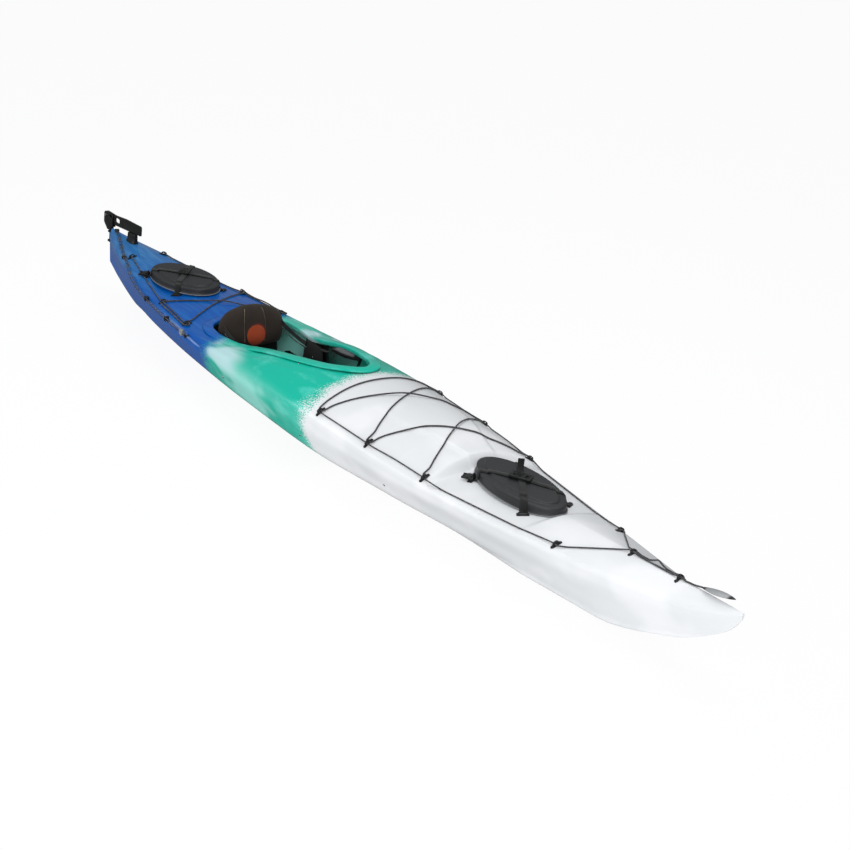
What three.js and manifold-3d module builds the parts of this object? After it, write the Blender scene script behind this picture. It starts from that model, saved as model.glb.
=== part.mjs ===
// Touring sea kayak with a flip-over rudder, in millimetres: +X to the bow, +Y to port, +Z up.
import * as THREE from 'three';
import { mergeVertices } from 'three/addons/utils/BufferGeometryUtils.js';
import Module from 'manifold-3d';

const wasm = await Module();
wasm.setup();

// Driving dimensions of the boat
const hullLength = 4270;
const hullBeam = 610;
const deckHeight = 350;
const hullWall = 5;
const keelFlatWidth = 84;
const seatGap = 0.3;
const cutOverrun = 60;

// Lines of the hull: station, sheer breadth, sheer height, chine breadth, chine height, keel height.
// Stations are shares of the half length, breadths of the half beam, heights of deckHeight.
const linesShares = [
  [-1.0, 0.04, 0.749, 0.022, 0.371, 0.363],
  [-0.937, 0.197, 0.737, 0.115, 0.309, 0.243],
  [-0.82, 0.426, 0.703, 0.279, 0.234, 0.1],
  [-0.656, 0.666, 0.646, 0.466, 0.183, 0.017],
  [-0.468, 0.846, 0.634, 0.626, 0.171, 0],
  [-0.234, 0.957, 0.663, 0.744, 0.16, 0],
  [0, 1, 0.674, 0.777, 0.143, 0],
  [0.234, 0.954, 0.646, 0.626, 0.154, 0],
  [0.468, 0.777, 0.64, 0.348, 0.149, 0],
  [0.703, 0.505, 0.671, 0.131, 0.129, 0.023],
  [0.867, 0.259, 0.72, 0.05, 0.343, 0.28],
  [0.951, 0.108, 0.786, 0.024, 0.571, 0.543],
  [0.984, 0.045, 0.84, 0.014, 0.72, 0.7],
  [1.0, 0.015, 0.877, 0.007, 0.835, 0.83],
];

// Ridge line of the deck: station share, height share of deckHeight, and how square the deck's section is
const crownShares = [
  [-1.0, 0.829, 1.8],
  [-0.909, 0.811, 1.8],
  [-0.796, 0.766, 1.9],
  [-0.66, 0.703, 2.2],
  [-0.51, 0.717, 2.2],
  [-0.45, 0.686, 2.3],
  [-0.375, 0.68, 2.4],
  [-0.234, 0.794, 2.4],
  [-0.141, 0.929, 2.4],
  [-0.047, 0.979, 2.3],
  [0.047, 0.989, 2.3],
  [0.187, 0.989, 2.3],
  [0.281, 0.966, 2.2],
  [0.337, 0.909, 2.2],
  [0.37, 0.874, 2.1],
  [0.386, 0.749, 2.2],
  [0.482, 0.731, 2.2],
  [0.581, 0.726, 2.1],
  [0.597, 0.771, 1.6],
  [0.68, 0.8, 1.35],
  [0.763, 0.823, 1.25],
  [0.867, 0.857, 1.3],
  [0.951, 0.883, 1.5],
  [1.0, 0.897, 1.8],
];

// Where the hull and deck have a section, as shares of the half length
const stationShares = [
  -1, -0.975, -0.93, -0.86, -0.78, -0.7, -0.62, -0.55, -0.5, -0.45, -0.39, -0.31, -0.234, -0.16, -0.08, 0, 0.09,
  0.187, 0.25, 0.31, 0.37, 0.386, 0.44, 0.51, 0.581, 0.597, 0.66, 0.74, 0.81, 0.867, 0.91, 0.951, 0.98, 1,
];
const deckPointShares = [1, 0.94, 0.82, 0.6, 0.32, 0];
const chineRoundShare = 0.34;
const sideBulgeShare = 0.035;
const cavityStartShare = -0.975;
const cavityEndShare = 0.951;

const halfLength = hullLength / 2;
const halfBeam = hullBeam / 2;
const atShare = (stationShare) => stationShare * halfLength;

const hullColour = new THREE.MeshStandardMaterial({ color: 0xe9ebec, roughness: 0.32, metalness: 0 });
const deckColour = new THREE.MeshStandardMaterial({ color: 0x2fbfa3, roughness: 0.32, metalness: 0 });
const rubberColour = new THREE.MeshStandardMaterial({ color: 0x35373a, roughness: 0.72, metalness: 0 });
const webbingColour = new THREE.MeshStandardMaterial({ color: 0x16181a, roughness: 0.85, metalness: 0 });
const plasticColour = new THREE.MeshStandardMaterial({ color: 0x1b1c1e, roughness: 0.5, metalness: 0 });
const greyPlasticColour = new THREE.MeshStandardMaterial({ color: 0x7b7f84, roughness: 0.5, metalness: 0 });
const cordColour = new THREE.MeshStandardMaterial({ color: 0x26292c, roughness: 0.8, metalness: 0 });
const padColour = new THREE.MeshStandardMaterial({ color: 0x32241c, roughness: 0.9, metalness: 0 });
const foamColour = new THREE.MeshStandardMaterial({ color: 0x2a2d30, roughness: 0.95, metalness: 0 });
const steelColour = new THREE.MeshStandardMaterial({ color: 0xb9bcc0, roughness: 0.3, metalness: 1 });

const share = (from, to, amount) => from + (to - from) * amount;
const point = (x, y, z) => new THREE.Vector3(x, y, z);

// Reads one column of a table at a station by a curve that never overshoots its rows
function smoothColumn(rows, column) {
  const xs = rows.map((row) => row[0]);
  const ys = rows.map((row) => row[column]);
  const slopes = ys.slice(1).map((y, i) => (y - ys[i]) / (xs[i + 1] - xs[i]));
  const tangents = ys.map((_, i) => {
    if (i === 0) return slopes[0];
    if (i === ys.length - 1) return slopes[i - 1];
    const product = slopes[i - 1] * slopes[i];
    return product <= 0 ? 0 : (2 * product) / (slopes[i - 1] + slopes[i]);
  });
  return (x) => {
    const last = xs.length - 2;
    const above = x >= xs[last + 1] ? last + 1 : xs.findIndex((row) => row > x);
    const i = Math.min(last, Math.max(0, above - 1));
    const width = xs[i + 1] - xs[i];
    const t = (x - xs[i]) / width;
    const rise = ys[i] * (1 + 2 * t) * (1 - t) ** 2 + ys[i + 1] * t * t * (3 - 2 * t);
    return rise + width * (tangents[i] * t * (1 - t) ** 2 + tangents[i + 1] * t * t * (t - 1));
  };
}

const lineReaders = [1, 2, 3, 4, 5].map((column) => smoothColumn(linesShares, column));
const crownReader = smoothColumn(crownShares, 1);
const squareReader = smoothColumn(crownShares, 2);

// The section of the boat at one station, in real sizes
function sectionLines(station) {
  const [sheerY, sheerZ, chineY, chineZ, keelZ] = lineReaders.map((reader) => reader(station));
  const line = {
    x: station * halfLength,
    sheer: [sheerY * halfBeam, sheerZ * deckHeight],
    chine: [chineY * halfBeam, chineZ * deckHeight],
    keelZ: keelZ * deckHeight,
    crown: crownReader(station) * deckHeight,
    square: squareReader(station),
  };
  line.keelY = Math.min(keelFlatWidth / 2, line.chine[0] * 0.5);
  return line;
}

// Half of the hull below the sheer, from the keel flat's edge up to the sheer
function lowerHalf(line) {
  const lerp = (a, b, t) => [share(a[0], b[0], t), share(a[1], b[1], t)];
  const keel = [line.keelY, line.keelZ];
  const under = lerp(line.chine, keel, chineRoundShare);
  const above = lerp(line.chine, line.sheer, chineRoundShare);
  const corner = lerp(lerp(under, line.chine, 0.5), lerp(line.chine, above, 0.5), 0.5);
  const middle = lerp(above, line.sheer, 0.5);
  middle[0] += sideBulgeShare * line.sheer[0];
  return [keel, under, corner, above, middle, line.sheer];
}

function deckHeightAt(line, breadthShare) {
  return line.sheer[1] + (line.crown - line.sheer[1]) * (1 - Math.abs(breadthShare) ** line.square);
}

// Half of the deck, from the sheer up to the ridge
const upperHalf = (line) => deckPointShares.map((s) => [s * line.sheer[0], deckHeightAt(line, s)]);

const mirrored = (half) => half.map(([y, z]) => [-y, z]);
const stations = stationShares.map(sectionLines);

// Height of a faceted skin at a place in plan: each patch between two of its stations is two triangles
function skinHeight(lines, halfOf, x, y) {
  const next = Math.min(lines.length - 1, Math.max(1, lines.findIndex((line) => line.x > x)));
  const [fore, aft] = [lines[next], lines[next - 1]];
  const t = (x - aft.x) / (fore.x - aft.x);
  const [a, b] = [halfOf(aft), halfOf(fore)];
  const between = (i, k) => [share(a[i][0], b[k][0], t), share(a[i][1], b[k][1], t)];
  const last = a.length - 2;
  const aside = Math.abs(y);
  const row = a.findIndex((_, k) => k <= last && between(k + 1, k + 1)[0] <= aside);
  const k = row < 0 ? last : row;
  const diagonal = y >= 0 ? between(k, k + 1) : between(k + 1, k);
  const [outer, inner] = aside > diagonal[0] ? [between(k, k), diagonal] : [diagonal, between(k + 1, k + 1)];
  const inward = (outer[0] - aside) / Math.max(outer[0] - inner[0], 1e-6);
  return share(outer[1], inner[1], Math.min(1, Math.max(0, inward)));
}

const deckTop = (x, y) => skinHeight(stations, upperHalf, x, y);
const breadthAt = (x) => lineReaders[0](x / halfLength) * halfBeam;
const sheerHeightAt = (x) => lineReaders[1](x / halfLength) * deckHeight;

// Closes a body from its vertices and faces, turned so that the faces point out
function closedGeometry(vertices, faces) {
  let volume = 0;
  for (const [a, b, c] of faces) {
    volume += vertices[a].dot(point(0, 0, 0).crossVectors(vertices[b], vertices[c]));
  }
  const index = volume < 0 ? faces.flatMap(([a, b, c]) => [a, c, b]) : faces.flat();
  const geometry = new THREE.BufferGeometry();
  const numbers = vertices.flatMap((v) => [v.x, v.y, v.z]);
  geometry.setAttribute('position', new THREE.Float32BufferAttribute(numbers, 3));
  geometry.setIndex(index);
  return geometry;
}

// Faces of a flat or nearly flat cap over one ring
function capFaces(ring, start) {
  const box = new THREE.Box3().setFromPoints(ring);
  const size = box.getSize(point(0, 0, 0));
  const thin = ['x', 'y', 'z'].sort((a, b) => size[a] - size[b])[0];
  const [u, v] = ['x', 'y', 'z'].filter((axis) => axis !== thin);
  let contour = ring.map((p, i) => ({ p: new THREE.Vector2(p[u], p[v]), i }));
  if (THREE.ShapeUtils.isClockWise(contour.map((c) => c.p))) contour = contour.reverse();
  const triangles = THREE.ShapeUtils.triangulateShape(contour.map((c) => c.p), []);
  const first = THREE.ShapeUtils.isClockWise(ring.map((p) => new THREE.Vector2(p[u], p[v])));
  return triangles.map((t) => {
    const face = t.map((i) => contour[i].i + start);
    return first ? [face[0], face[2], face[1]] : face;
  });
}

// Skins a row of rings with the same number of points; closed all the way round, or capped at both ends
function loft(rings, closed = false) {
  const count = rings[0].length;
  const vertices = rings.flat();
  const faces = [];
  const spans = closed ? rings.length : rings.length - 1;
  for (let i = 0; i < spans; i += 1) {
    const here = i * count;
    const there = ((i + 1) % rings.length) * count;
    for (let k = 0; k < count; k += 1) {
      const next = (k + 1) % count;
      faces.push([here + k, here + next, there + next], [here + k, there + next, there + k]);
    }
  }
  if (!closed) {
    faces.push(...capFaces(rings[0], 0).map(([a, b, c]) => [a, c, b]));
    faces.push(...capFaces(rings[rings.length - 1], (rings.length - 1) * count));
  }
  return closedGeometry(vertices, faces);
}

// A solid of manifold-3d from a closed geometry, and back
function solidOf(geometry) {
  const bare = geometry.clone();
  for (const name of Object.keys(bare.attributes)) if (name !== 'position') bare.deleteAttribute(name);
  const merged = mergeVertices(bare, 1e-4);
  const mesh = new wasm.Mesh({
    numProp: 3,
    vertProperties: Float32Array.from(merged.attributes.position.array),
    triVerts: Uint32Array.from(merged.index.array),
  });
  return new wasm.Manifold(mesh);
}

function geometryOf(solid) {
  const mesh = solid.getMesh();
  const geometry = new THREE.BufferGeometry();
  geometry.setAttribute('position', new THREE.BufferAttribute(new Float32Array(mesh.vertProperties), 3));
  geometry.setIndex(new THREE.BufferAttribute(new Uint32Array(mesh.triVerts), 1));
  return geometry;
}

const combine = (verb) => (geometry, ...others) => geometryOf(
  others.reduce((body, other) => body[verb](solidOf(other)), solidOf(geometry)),
);
const cut = combine('subtract');
const join = combine('add');
const common = combine('intersect');

const boat = new THREE.Group();

function addPiece(name, geometry, material, place = {}) {
  const mesh = new THREE.Mesh(geometry, material);
  mesh.name = name;
  if (place.position) mesh.position.copy(place.position);
  if (place.rotation) mesh.rotation.set(...place.rotation);
  boat.add(mesh);
  return mesh;
}

// A flat outline drawn in one plane and given a thickness along the third axis, centred on it
function plate(outline, thickness, holes = [], bevel = 0) {
  const shape = new THREE.Shape(outline.map(([u, v]) => new THREE.Vector2(u, v)));
  for (const hole of holes) shape.holes.push(new THREE.Path(hole.map(([u, v]) => new THREE.Vector2(u, v))));
  const geometry = new THREE.ExtrudeGeometry(shape, {
    depth: thickness - 2 * bevel,
    bevelEnabled: bevel > 0,
    bevelThickness: bevel,
    bevelSize: bevel,
    bevelOffset: -bevel,
    bevelSegments: 1,
    curveSegments: 8,
  });
  return geometry.translate(0, 0, bevel - thickness / 2);
}

// Turns a plate drawn as (x, z) so that its thickness runs along Y, or one drawn as (y, z) along X
const standAlongX = (geometry) => geometry.rotateX(Math.PI / 2);
const standAcross = (geometry) => geometry.rotateX(Math.PI / 2).rotateZ(Math.PI / 2);

function roundOutline(centre, radius, steps, from = 0, to = Math.PI * 2) {
  const open = to - from < Math.PI * 2;
  return Array.from({ length: steps + (open ? 1 : 0) }, (_, i) => {
    const angle = share(from, to, i / steps);
    return [centre[0] + radius * Math.cos(angle), centre[1] + radius * Math.sin(angle)];
  });
}

function roundedBox(halfU, halfV, radius, steps = 3) {
  const corners = [[1, 1], [-1, 1], [-1, -1], [1, -1]];
  return corners.flatMap(([u, v], i) => roundOutline(
    [u * (halfU - radius), v * (halfV - radius)], radius, steps, (i * Math.PI) / 2, ((i + 1) * Math.PI) / 2,
  ));
}

// A bar or tube along X between two places
function barAlong(from, to, radius, sides = 12) {
  const length = from.distanceTo(to);
  const geometry = new THREE.CylinderGeometry(radius, radius, length, sides);
  const turn = new THREE.Quaternion().setFromUnitVectors(point(0, 1, 0), to.clone().sub(from).normalize());
  const middle = from.clone().add(to).multiplyScalar(0.5);
  return geometry.applyQuaternion(turn).translate(middle.x, middle.y, middle.z);
}

// A cord's route has a ring of its tube at each of its points
class CordRoute extends THREE.CatmullRomCurve3 {
  getPointAt(u, target) {
    return this.getPoint(u, target);
  }

  getTangentAt(u, target) {
    return this.getTangent(u, target);
  }
}

function cordTube(route, diameter) {
  const outline = roundOutline([0, 0], diameter / 2, 8).map(([u, v]) => new THREE.Vector2(u, v));
  const section = new THREE.Shape(outline);
  const path = new CordRoute(route, false, 'centripetal');
  const steps = route.length - 1;
  return new THREE.ExtrudeGeometry(section, { steps, bevelEnabled: false, extrudePath: path });
}

// A flat strap along a route that stays in one upright plane, with its width square to that plane
function strapAlong(route, width, thickness, across) {
  const rings = route.map((p, i) => {
    const before = route[Math.max(0, i - 1)];
    const after = route[Math.min(route.length - 1, i + 1)];
    const along = after.clone().sub(before).normalize();
    const out = point(0, 0, 0).crossVectors(across, along).normalize();
    return [[1, 1], [-1, 1], [-1, -1], [1, -1]].map(([w, t]) => p.clone()
      .addScaledVector(across, (w * width) / 2).addScaledVector(out, (t * thickness) / 2));
  });
  return loft(rings);
}

// Hull and deck skins

const asRing = (line, outline) => outline.map(([y, z]) => point(line.x, y, z));

function outerHull() {
  return loft(stations.map((line) => {
    const half = lowerHalf(line);
    const lowered = half.map(([y, z], i) => (i === half.length - 1 ? [y, z - seatGap / 2] : [y, z]));
    return asRing(line, [...lowered, ...mirrored(lowered).reverse()]);
  }));
}

function outerDeck() {
  return loft(stations.map((line) => {
    const half = upperHalf(line);
    const raised = half.map(([y, z], i) => (i === 0 ? [y, z + seatGap / 2] : [y, z]));
    const ridge = raised.length - 1;
    return asRing(line, [...raised, ...mirrored(raised.slice(0, ridge)).reverse()]);
  }));
}

// The boat's inside at a station: every point of the section moved in by the wall
function cavityOutline(line, wall) {
  const half = [[0, line.keelZ], ...lowerHalf(line), ...upperHalf(line).slice(1)];
  const inwardOf = ([y0, z0], [y1, z1]) => new THREE.Vector2(z0 - z1, y1 - y0).normalize();
  const inner = half.map(([y, z], i) => {
    if (i === 0) return [0, z + wall];
    if (i === half.length - 1) return [0, z - wall];
    const [below, above] = [inwardOf(half[i - 1], half[i]), inwardOf(half[i], half[i + 1])];
    const inward = below.clone().add(above).normalize();
    const reach = wall / Math.max(0.6, inward.dot(above));
    return [Math.max(wall * 0.1, y + reach * inward.x), z + reach * inward.y];
  });
  return [...inner, ...mirrored(inner.slice(1, -1)).reverse()];
}

const insideStations = stations.filter((line) => {
  const station = line.x / halfLength;
  return station >= cavityStartShare - 1e-9 && station <= cavityEndShare + 1e-9;
});

function insideRing(x, wall) {
  const next = Math.max(1, insideStations.findIndex((line) => line.x > x));
  const [fore, aft] = [insideStations[next], insideStations[next - 1]];
  const t = (x - aft.x) / (fore.x - aft.x);
  const [a, b] = [cavityOutline(aft, wall), cavityOutline(fore, wall)];
  return a.map(([y, z], i) => point(x, share(y, b[i][0], t), share(z, b[i][1], t)));
}

const cavity = (wall, lines = insideStations) => (
  loft(lines.map((line) => asRing(line, cavityOutline(line, wall))))
);

// How far out the inside of the hull's side is at a height
function insideBreadth(x, z) {
  const ring = insideRing(x, hullWall);
  const half = ring.slice(0, Math.ceil((ring.length + 1) / 2)).filter((p) => p.y > 0);
  const i = half.findIndex((p) => p.z > z);
  const [above, below] = [half[i], half[i - 1]];
  return share(below.y, above.y, (z - below.z) / (above.z - below.z));
}

// Height of the deck's underside at a place
const ceilingHalf = (line) => (
  cavityOutline(line, hullWall).slice(lowerHalf(line).length).slice(0, deckPointShares.length)
);
const ceilingHeight = (x, y) => skinHeight(insideStations, ceilingHalf, x, y);

// Cockpit: the coaming's inner edge in plan, its height along the boat, and its lip
const cockpitAftShare = -0.4426;
const cockpitAftX = atShare(cockpitAftShare);
const cockpitLength = 968;
const cockpitWidth = 348;
const coamingLip = 44;
const coamingLipThickness = 7;
const coamingDroop = 3;
const coamingRound = 2;
const coamingLipRound = 5;
const coamingWall = 6;
const coamingRoot = 4;
// Outline: share of the length from the aft end, share of the half width
const cockpitOutlineShares = [
  [0, 0], [0.008, 0.36], [0.03, 0.66], [0.066, 0.86], [0.115, 0.965], [0.175, 1], [0.27, 0.965], [0.37, 0.87],
  [0.47, 0.805], [0.565, 0.78], [0.66, 0.745], [0.76, 0.665], [0.86, 0.53], [0.935, 0.37], [0.982, 0.19], [1, 0],
];
const rimHeightShares = [
  [0, 0.694], [0.16, 0.694], [0.31, 0.706], [0.46, 0.786], [0.565, 0.851], [0.67, 0.903], [0.77, 0.943],
  [0.875, 0.98], [1, 1.029], [1.1, 1.035],
];
const rimReader = smoothColumn(rimHeightShares, 1);
const rimHeight = (x) => rimReader(Math.max(0, (x - cockpitAftX) / cockpitLength)) * deckHeight;

function cockpitOutline() {
  const side = cockpitOutlineShares.map(([along, across]) => point(
    cockpitAftX + along * cockpitLength, (across * cockpitWidth) / 2, 0,
  ));
  return [...side, ...side.slice(1, -1).reverse().map((p) => point(p.x, -p.y, 0))];
}

// Direction square to a closed outline, pointing out of it in plan
function outwardAt(outline, i) {
  const before = outline[(i + outline.length - 1) % outline.length];
  const after = outline[(i + 1) % outline.length];
  const turn = THREE.ShapeUtils.isClockWise(outline) ? 1 : -1;
  return point(before.y - after.y, after.x - before.x, 0).normalize().multiplyScalar(turn);
}

function coaming() {
  const outline = cockpitOutline();
  return loft(outline.map((p, i) => {
    const out = outwardAt(outline, i);
    const top = rimHeight(p.x);
    const at = (reach, z) => point(p.x + out.x * reach, p.y + out.y * reach, z);
    const foot = (reach) => deckTop(p.x + out.x * reach, p.y + out.y * reach) - hullWall;
    const under = top - coamingLipThickness;
    return [
      at(0, Math.min(foot(0), under)), at(0, top - coamingRound), at(coamingRound, top),
      at(coamingLip - coamingLipRound, top - coamingDroop), at(coamingLip, top - coamingDroop - coamingRound),
      at(coamingLip, under - coamingDroop), at(coamingWall + coamingRoot, under - coamingRound / 2),
      at(coamingWall, Math.min(foot(coamingWall), under - coamingRound)),
    ];
  }), true);
}

function uprightCutter(outline, low, high) {
  return loft([outline.map((p) => point(p.x, p.y, low)), outline.map((p) => point(p.x, p.y, high))]);
}

// Hatches: an oval rubber lid over a moulded rim; slope is the lid's rise for each unit forward
const lidThickness = 6;
const lidCrown = 7;
const lidShoulder = 27;
const lidBead = 6;
const lidEdge = 5;
const lidLipReach = 3;
const lidLipHeight = 4;
const lidSteps = 24;
const rimWall = 5;
const rimInset = 9;
const rimDrop = 22;
// A lid's top stands a skirt and a clearance above the deck's ridge
const hatchPlace = (hatch) => ({
  ...hatch,
  x: atShare(hatch.placeShare),
  z: crownReader(hatch.placeShare) * deckHeight + hatch.skirt + hatch.stand,
});
const bowHatch = hatchPlace({
  placeShare: 0.483, stand: 1, halfLength: 218, halfWidth: 108, skirt: 36, slope: -0.038,
  anchorReach: 26, sideReach: 26,
});
const sternHatch = hatchPlace({
  placeShare: -0.662, stand: 3, halfLength: 206, halfWidth: 127, skirt: 32, slope: 0.018,
  anchorReach: 20, sideReach: 17,
});

const oval = (hatch, inset, z) => Array.from({ length: lidSteps }, (_, i) => {
  const angle = (i / lidSteps) * Math.PI * 2;
  return point((hatch.halfLength - inset) * Math.cos(angle), (hatch.halfWidth - inset) * Math.sin(angle), z);
});

function hatchLid(hatch) {
  const low = -hatch.skirt;
  return loft([
    oval(hatch, lidShoulder + lidBead, lidCrown),
    oval(hatch, lidShoulder, lidCrown / lidBead), oval(hatch, lidEdge, 0), oval(hatch, 0, -lidEdge),
    oval(hatch, 0, low + lidBead), oval(hatch, -lidLipReach, low + lidLipHeight), oval(hatch, -lidLipReach, low),
    oval(hatch, lidThickness, low), oval(hatch, lidThickness, -lidThickness),
  ]);
}

const lidPlane = (hatch, x) => hatch.z + hatch.slope * (x - hatch.x);

function hatchRim(hatch) {
  const outline = oval(hatch, rimInset, 0).map((p) => point(p.x + hatch.x, p.y, 0));
  return loft(outline.map((p, i) => {
    const out = outwardAt(outline, i);
    const at = (reach, z) => point(p.x + out.x * reach, p.y + out.y * reach, z);
    const top = lidPlane(hatch, p.x) - rimDrop;
    const foot = (reach) => deckTop(p.x + out.x * reach, p.y + out.y * reach) - hullWall;
    return [at(0, foot(0)), at(0, top), at(-rimWall, top), at(-rimWall, foot(-rimWall))];
  }), true);
}

function hatchHole(hatch) {
  const outline = oval(hatch, rimInset + rimWall, 0).map((p) => point(p.x + hatch.x, p.y, 0));
  return uprightCutter(outline, hatch.z - hatch.skirt - cutOverrun, hatch.z + cutOverrun);
}

// Strap anchors moulded on the deck at the four ends of each hatch's straps
const anchorLength = 20;
const anchorWidth = 34;
const anchorHeight = 11;
const anchorSink = 4;
const anchorCorner = 6;
const anchorBevel = 2;

function anchorPlaces(hatch) {
  return [
    [hatch.x - hatch.halfLength - hatch.anchorReach, 0], [hatch.x + hatch.halfLength + hatch.anchorReach, 0],
    [hatch.x, -hatch.halfWidth - hatch.sideReach], [hatch.x, hatch.halfWidth + hatch.sideReach],
  ];
}

function strapAnchor([x, y]) {
  const across = Math.abs(y) > 0;
  const [u, v] = across ? [anchorWidth / 2, anchorLength / 2] : [anchorLength / 2, anchorWidth / 2];
  const slope = Math.atan2(deckTop(x, y + u) - deckTop(x, y - u), 2 * u);
  return plate(roundedBox(u, v, anchorCorner, 1), anchorHeight, [], anchorBevel).rotateX(slope)
    .translate(x, y, deckTop(x, y) + anchorHeight / 2 - anchorSink);
}

function buildShells() {
  const outline = cockpitOutline();
  const inner = outline.map((p, i) => p.clone().addScaledVector(outwardAt(outline, i), hullWall / 2));
  const opening = uprightCutter(inner, deckHeight / 2, deckHeight + cutOverrun);
  const hollow = cavity(hullWall);
  const side = join(cut(outerHull(), hollow), liftGuide(sideGuideX), liftPost());
  addPiece('hull_shell', cut(side, liftLineTube(liftDiameter + 2 * seatGap)), hullColour);
  const bare = cut(outerDeck(), hollow, opening, hatchHole(bowHatch), hatchHole(sternHatch));
  const anchors = [bowHatch, sternHatch].flatMap(anchorPlaces).map(strapAnchor);
  const guides = [sternGuideX, deckGuideX].map(liftGuide);
  const fitted = join(bare, coaming(), hatchRim(bowHatch), hatchRim(sternHatch), ...anchors, ...guides);
  addPiece('deck_shell', cut(fitted, liftLineTube(liftDiameter + 2 * seatGap)), deckColour);
}

// Bulkheads: plates cut to the inside of the boat
const bulkheadThickness = 10;
const bulkheadGap = 0.9;
const bulkheadForeShare = 0.349;
const bulkheadAftShare = -0.473;

function bulkhead(name, x) {
  const near = insideStations.filter((line) => Math.abs(line.x - x) < hullLength / 10);
  const slab = new THREE.BoxGeometry(bulkheadThickness, hullBeam, 2 * deckHeight).translate(x, 0, 0);
  addPiece(name, common(cavity(hullWall + bulkheadGap, near), slab), foamColour);
}

// Hatch lids with their straps and buckles
const strapWidth = 25;
const strapThickness = 2;
const strapLift = 5.5;
const buckleLength = 58;
const buckleWidth = 32;
const buckleHeight = 11;
const buckleCorner = 6;
const buckleBevel = 2;
const strapSlack = 2;
const strapBow = 5;
const strapSide = 0.6;

function hatchStrap(hatch, reach, anchorReach, direction, across) {
  const off = strapThickness / 2 + seatGap;
  const anchored = reach + anchorReach - anchorLength / 2 - 2 * seatGap;
  const halfRoute = (end) => {
    const place = direction.clone().multiplyScalar(end * anchored);
    const low = deckTop(hatch.x + place.x, place.y) - lidPlane(hatch, hatch.x + place.x) + strapLift;
    const [edge, shoulder] = [reach + off, reach - lidShoulder];
    return [[anchored, low], [edge + strapBow, low + strapSlack], [edge + strapSide, -lidEdge],
      [reach - lidEdge + seatGap, off + strapSlack / 2], [shoulder + strapSlack, off + strapSlack],
      [shoulder - lidBead + strapSlack, lidCrown + off + strapSide]].map(([u, z]) => [end * u, z]);
  };
  const whole = [...halfRoute(1), [0, lidCrown + off], ...halfRoute(-1).reverse()];
  const route = whole.map(([u, z]) => direction.clone().multiplyScalar(u).setZ(z));
  return strapAlong(route, strapWidth, strapThickness, across);
}

function hatchSet(side, hatch) {
  const place = { position: point(hatch.x, 0, hatch.z), rotation: [0, -Math.atan(hatch.slope), 0] };
  const onBoat = hatchLid(hatch).rotateY(place.rotation[1]).translate(hatch.x, 0, hatch.z);
  const lid = cut(onBoat, outerDeck().translate(0, 0, seatGap))
    .translate(-hatch.x, 0, -hatch.z).rotateY(-place.rotation[1]);
  addPiece(`${side}_hatch_cover`, lid, rubberColour, place);
  const along = hatchStrap(hatch, hatch.halfLength, hatch.anchorReach, point(1, 0, 0), point(0, 1, 0));
  const over = hatchStrap(hatch, hatch.halfWidth, hatch.sideReach, point(0, 1, 0), point(-1, 0, 0));
  addPiece(`${side}_hatch_straps`, join(along, over), webbingColour, place);
  const buckleOutline = roundedBox(buckleLength / 2, buckleWidth / 2, buckleCorner, 2);
  const buckle = plate(buckleOutline, buckleHeight, [], buckleBevel);
  const rise = lidCrown + strapThickness + 2 * seatGap + buckleHeight / 2;
  addPiece(`${side}_hatch_buckle`, buckle.translate(0, 0, rise), plasticColour, place);
}

// Deck fittings: an eye on a screwed foot, with the cords through it fore and aft
const eyeFootWidth = 46;
const eyeFootThickness = 3;
const eyeWidth = 27;
const eyeHeight = 15;
const eyeDepth = 12;
const eyeHoleWidth = 18;
const eyeHoleHeight = 9;
const eyeInset = 34;
const eyeSeatGap = 0.5;
const bungeeDiameter = 6;
const lineDiameter = 5;
const eyeCorner = 5;
const eyeHoleCorner = 4;
const eyeHoleSink = 0.5;
const foreEyeShares = [0.074, 0.219, 0.368, 0.66];
const aftEyeShares = [-0.829, -0.581, -0.452];
const joinEyeShare = 0.763;
const handleEyeShare = 0.8674;
const foreEyes = foreEyeShares.map(atShare).map((x) => [x, breadthAt(x) - eyeInset]);
const sternEyeInset = 46;
const aftEyes = aftEyeShares.map(atShare)
  .map((x, i) => [x, breadthAt(x) - (i === 0 ? sternEyeInset : eyeInset)]);
const joinEye = [atShare(joinEyeShare), 0];
const handleEye = [atShare(handleEyeShare), 0];

const eyeCentre = eyeFootThickness - eyeHoleSink + eyeHoleHeight / 2;

function eyeOutline() {
  const foot = eyeFootWidth / 2;
  const hump = eyeWidth / 2;
  const top = roundedBox(hump, hump, eyeCorner, 2).filter(([, v]) => v > 0)
    .map(([u, v]) => [u, v - hump + eyeHeight]);
  return [[foot, 0], [foot, eyeFootThickness], [hump, eyeFootThickness], ...top, [-hump, eyeFootThickness],
    [-foot, eyeFootThickness], [-foot, 0]];
}

// Where an eye sits on the deck, and how the deck slopes there
function eyePlace([x, y]) {
  const reach = eyeFootWidth / 2;
  const roll = Math.atan2(deckTop(x, y + reach) - deckTop(x, y - reach), 2 * reach);
  const pitch = -Math.atan2(deckTop(x + eyeDepth, y) - deckTop(x - eyeDepth, y), 2 * eyeDepth);
  const sides = [-1, -0.75, -0.5, -0.25, 0, 0.25, 0.5, 0.75, 1];
  const seat = Math.max(...sides.flatMap((side) => [-0.55, -0.25, 0, 0.25, 0.55].map((along) => (
    deckTop(x + along * eyeDepth, y + side * reach)
      - Math.tan(roll) * side * reach + Math.tan(pitch) * along * eyeDepth
  ))));
  return { position: point(x, y, seat + eyeSeatGap), rotation: [roll, pitch, 0] };
}

function deckEye(name, place) {
  const hole = roundedBox(eyeHoleWidth / 2, eyeHoleHeight / 2, eyeHoleCorner, 1)
    .map(([u, v]) => [u, v + eyeCentre]).reverse();
  addPiece(name, standAcross(plate(eyeOutline(), eyeDepth, [hole])), plasticColour, eyePlace(place));
}

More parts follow.
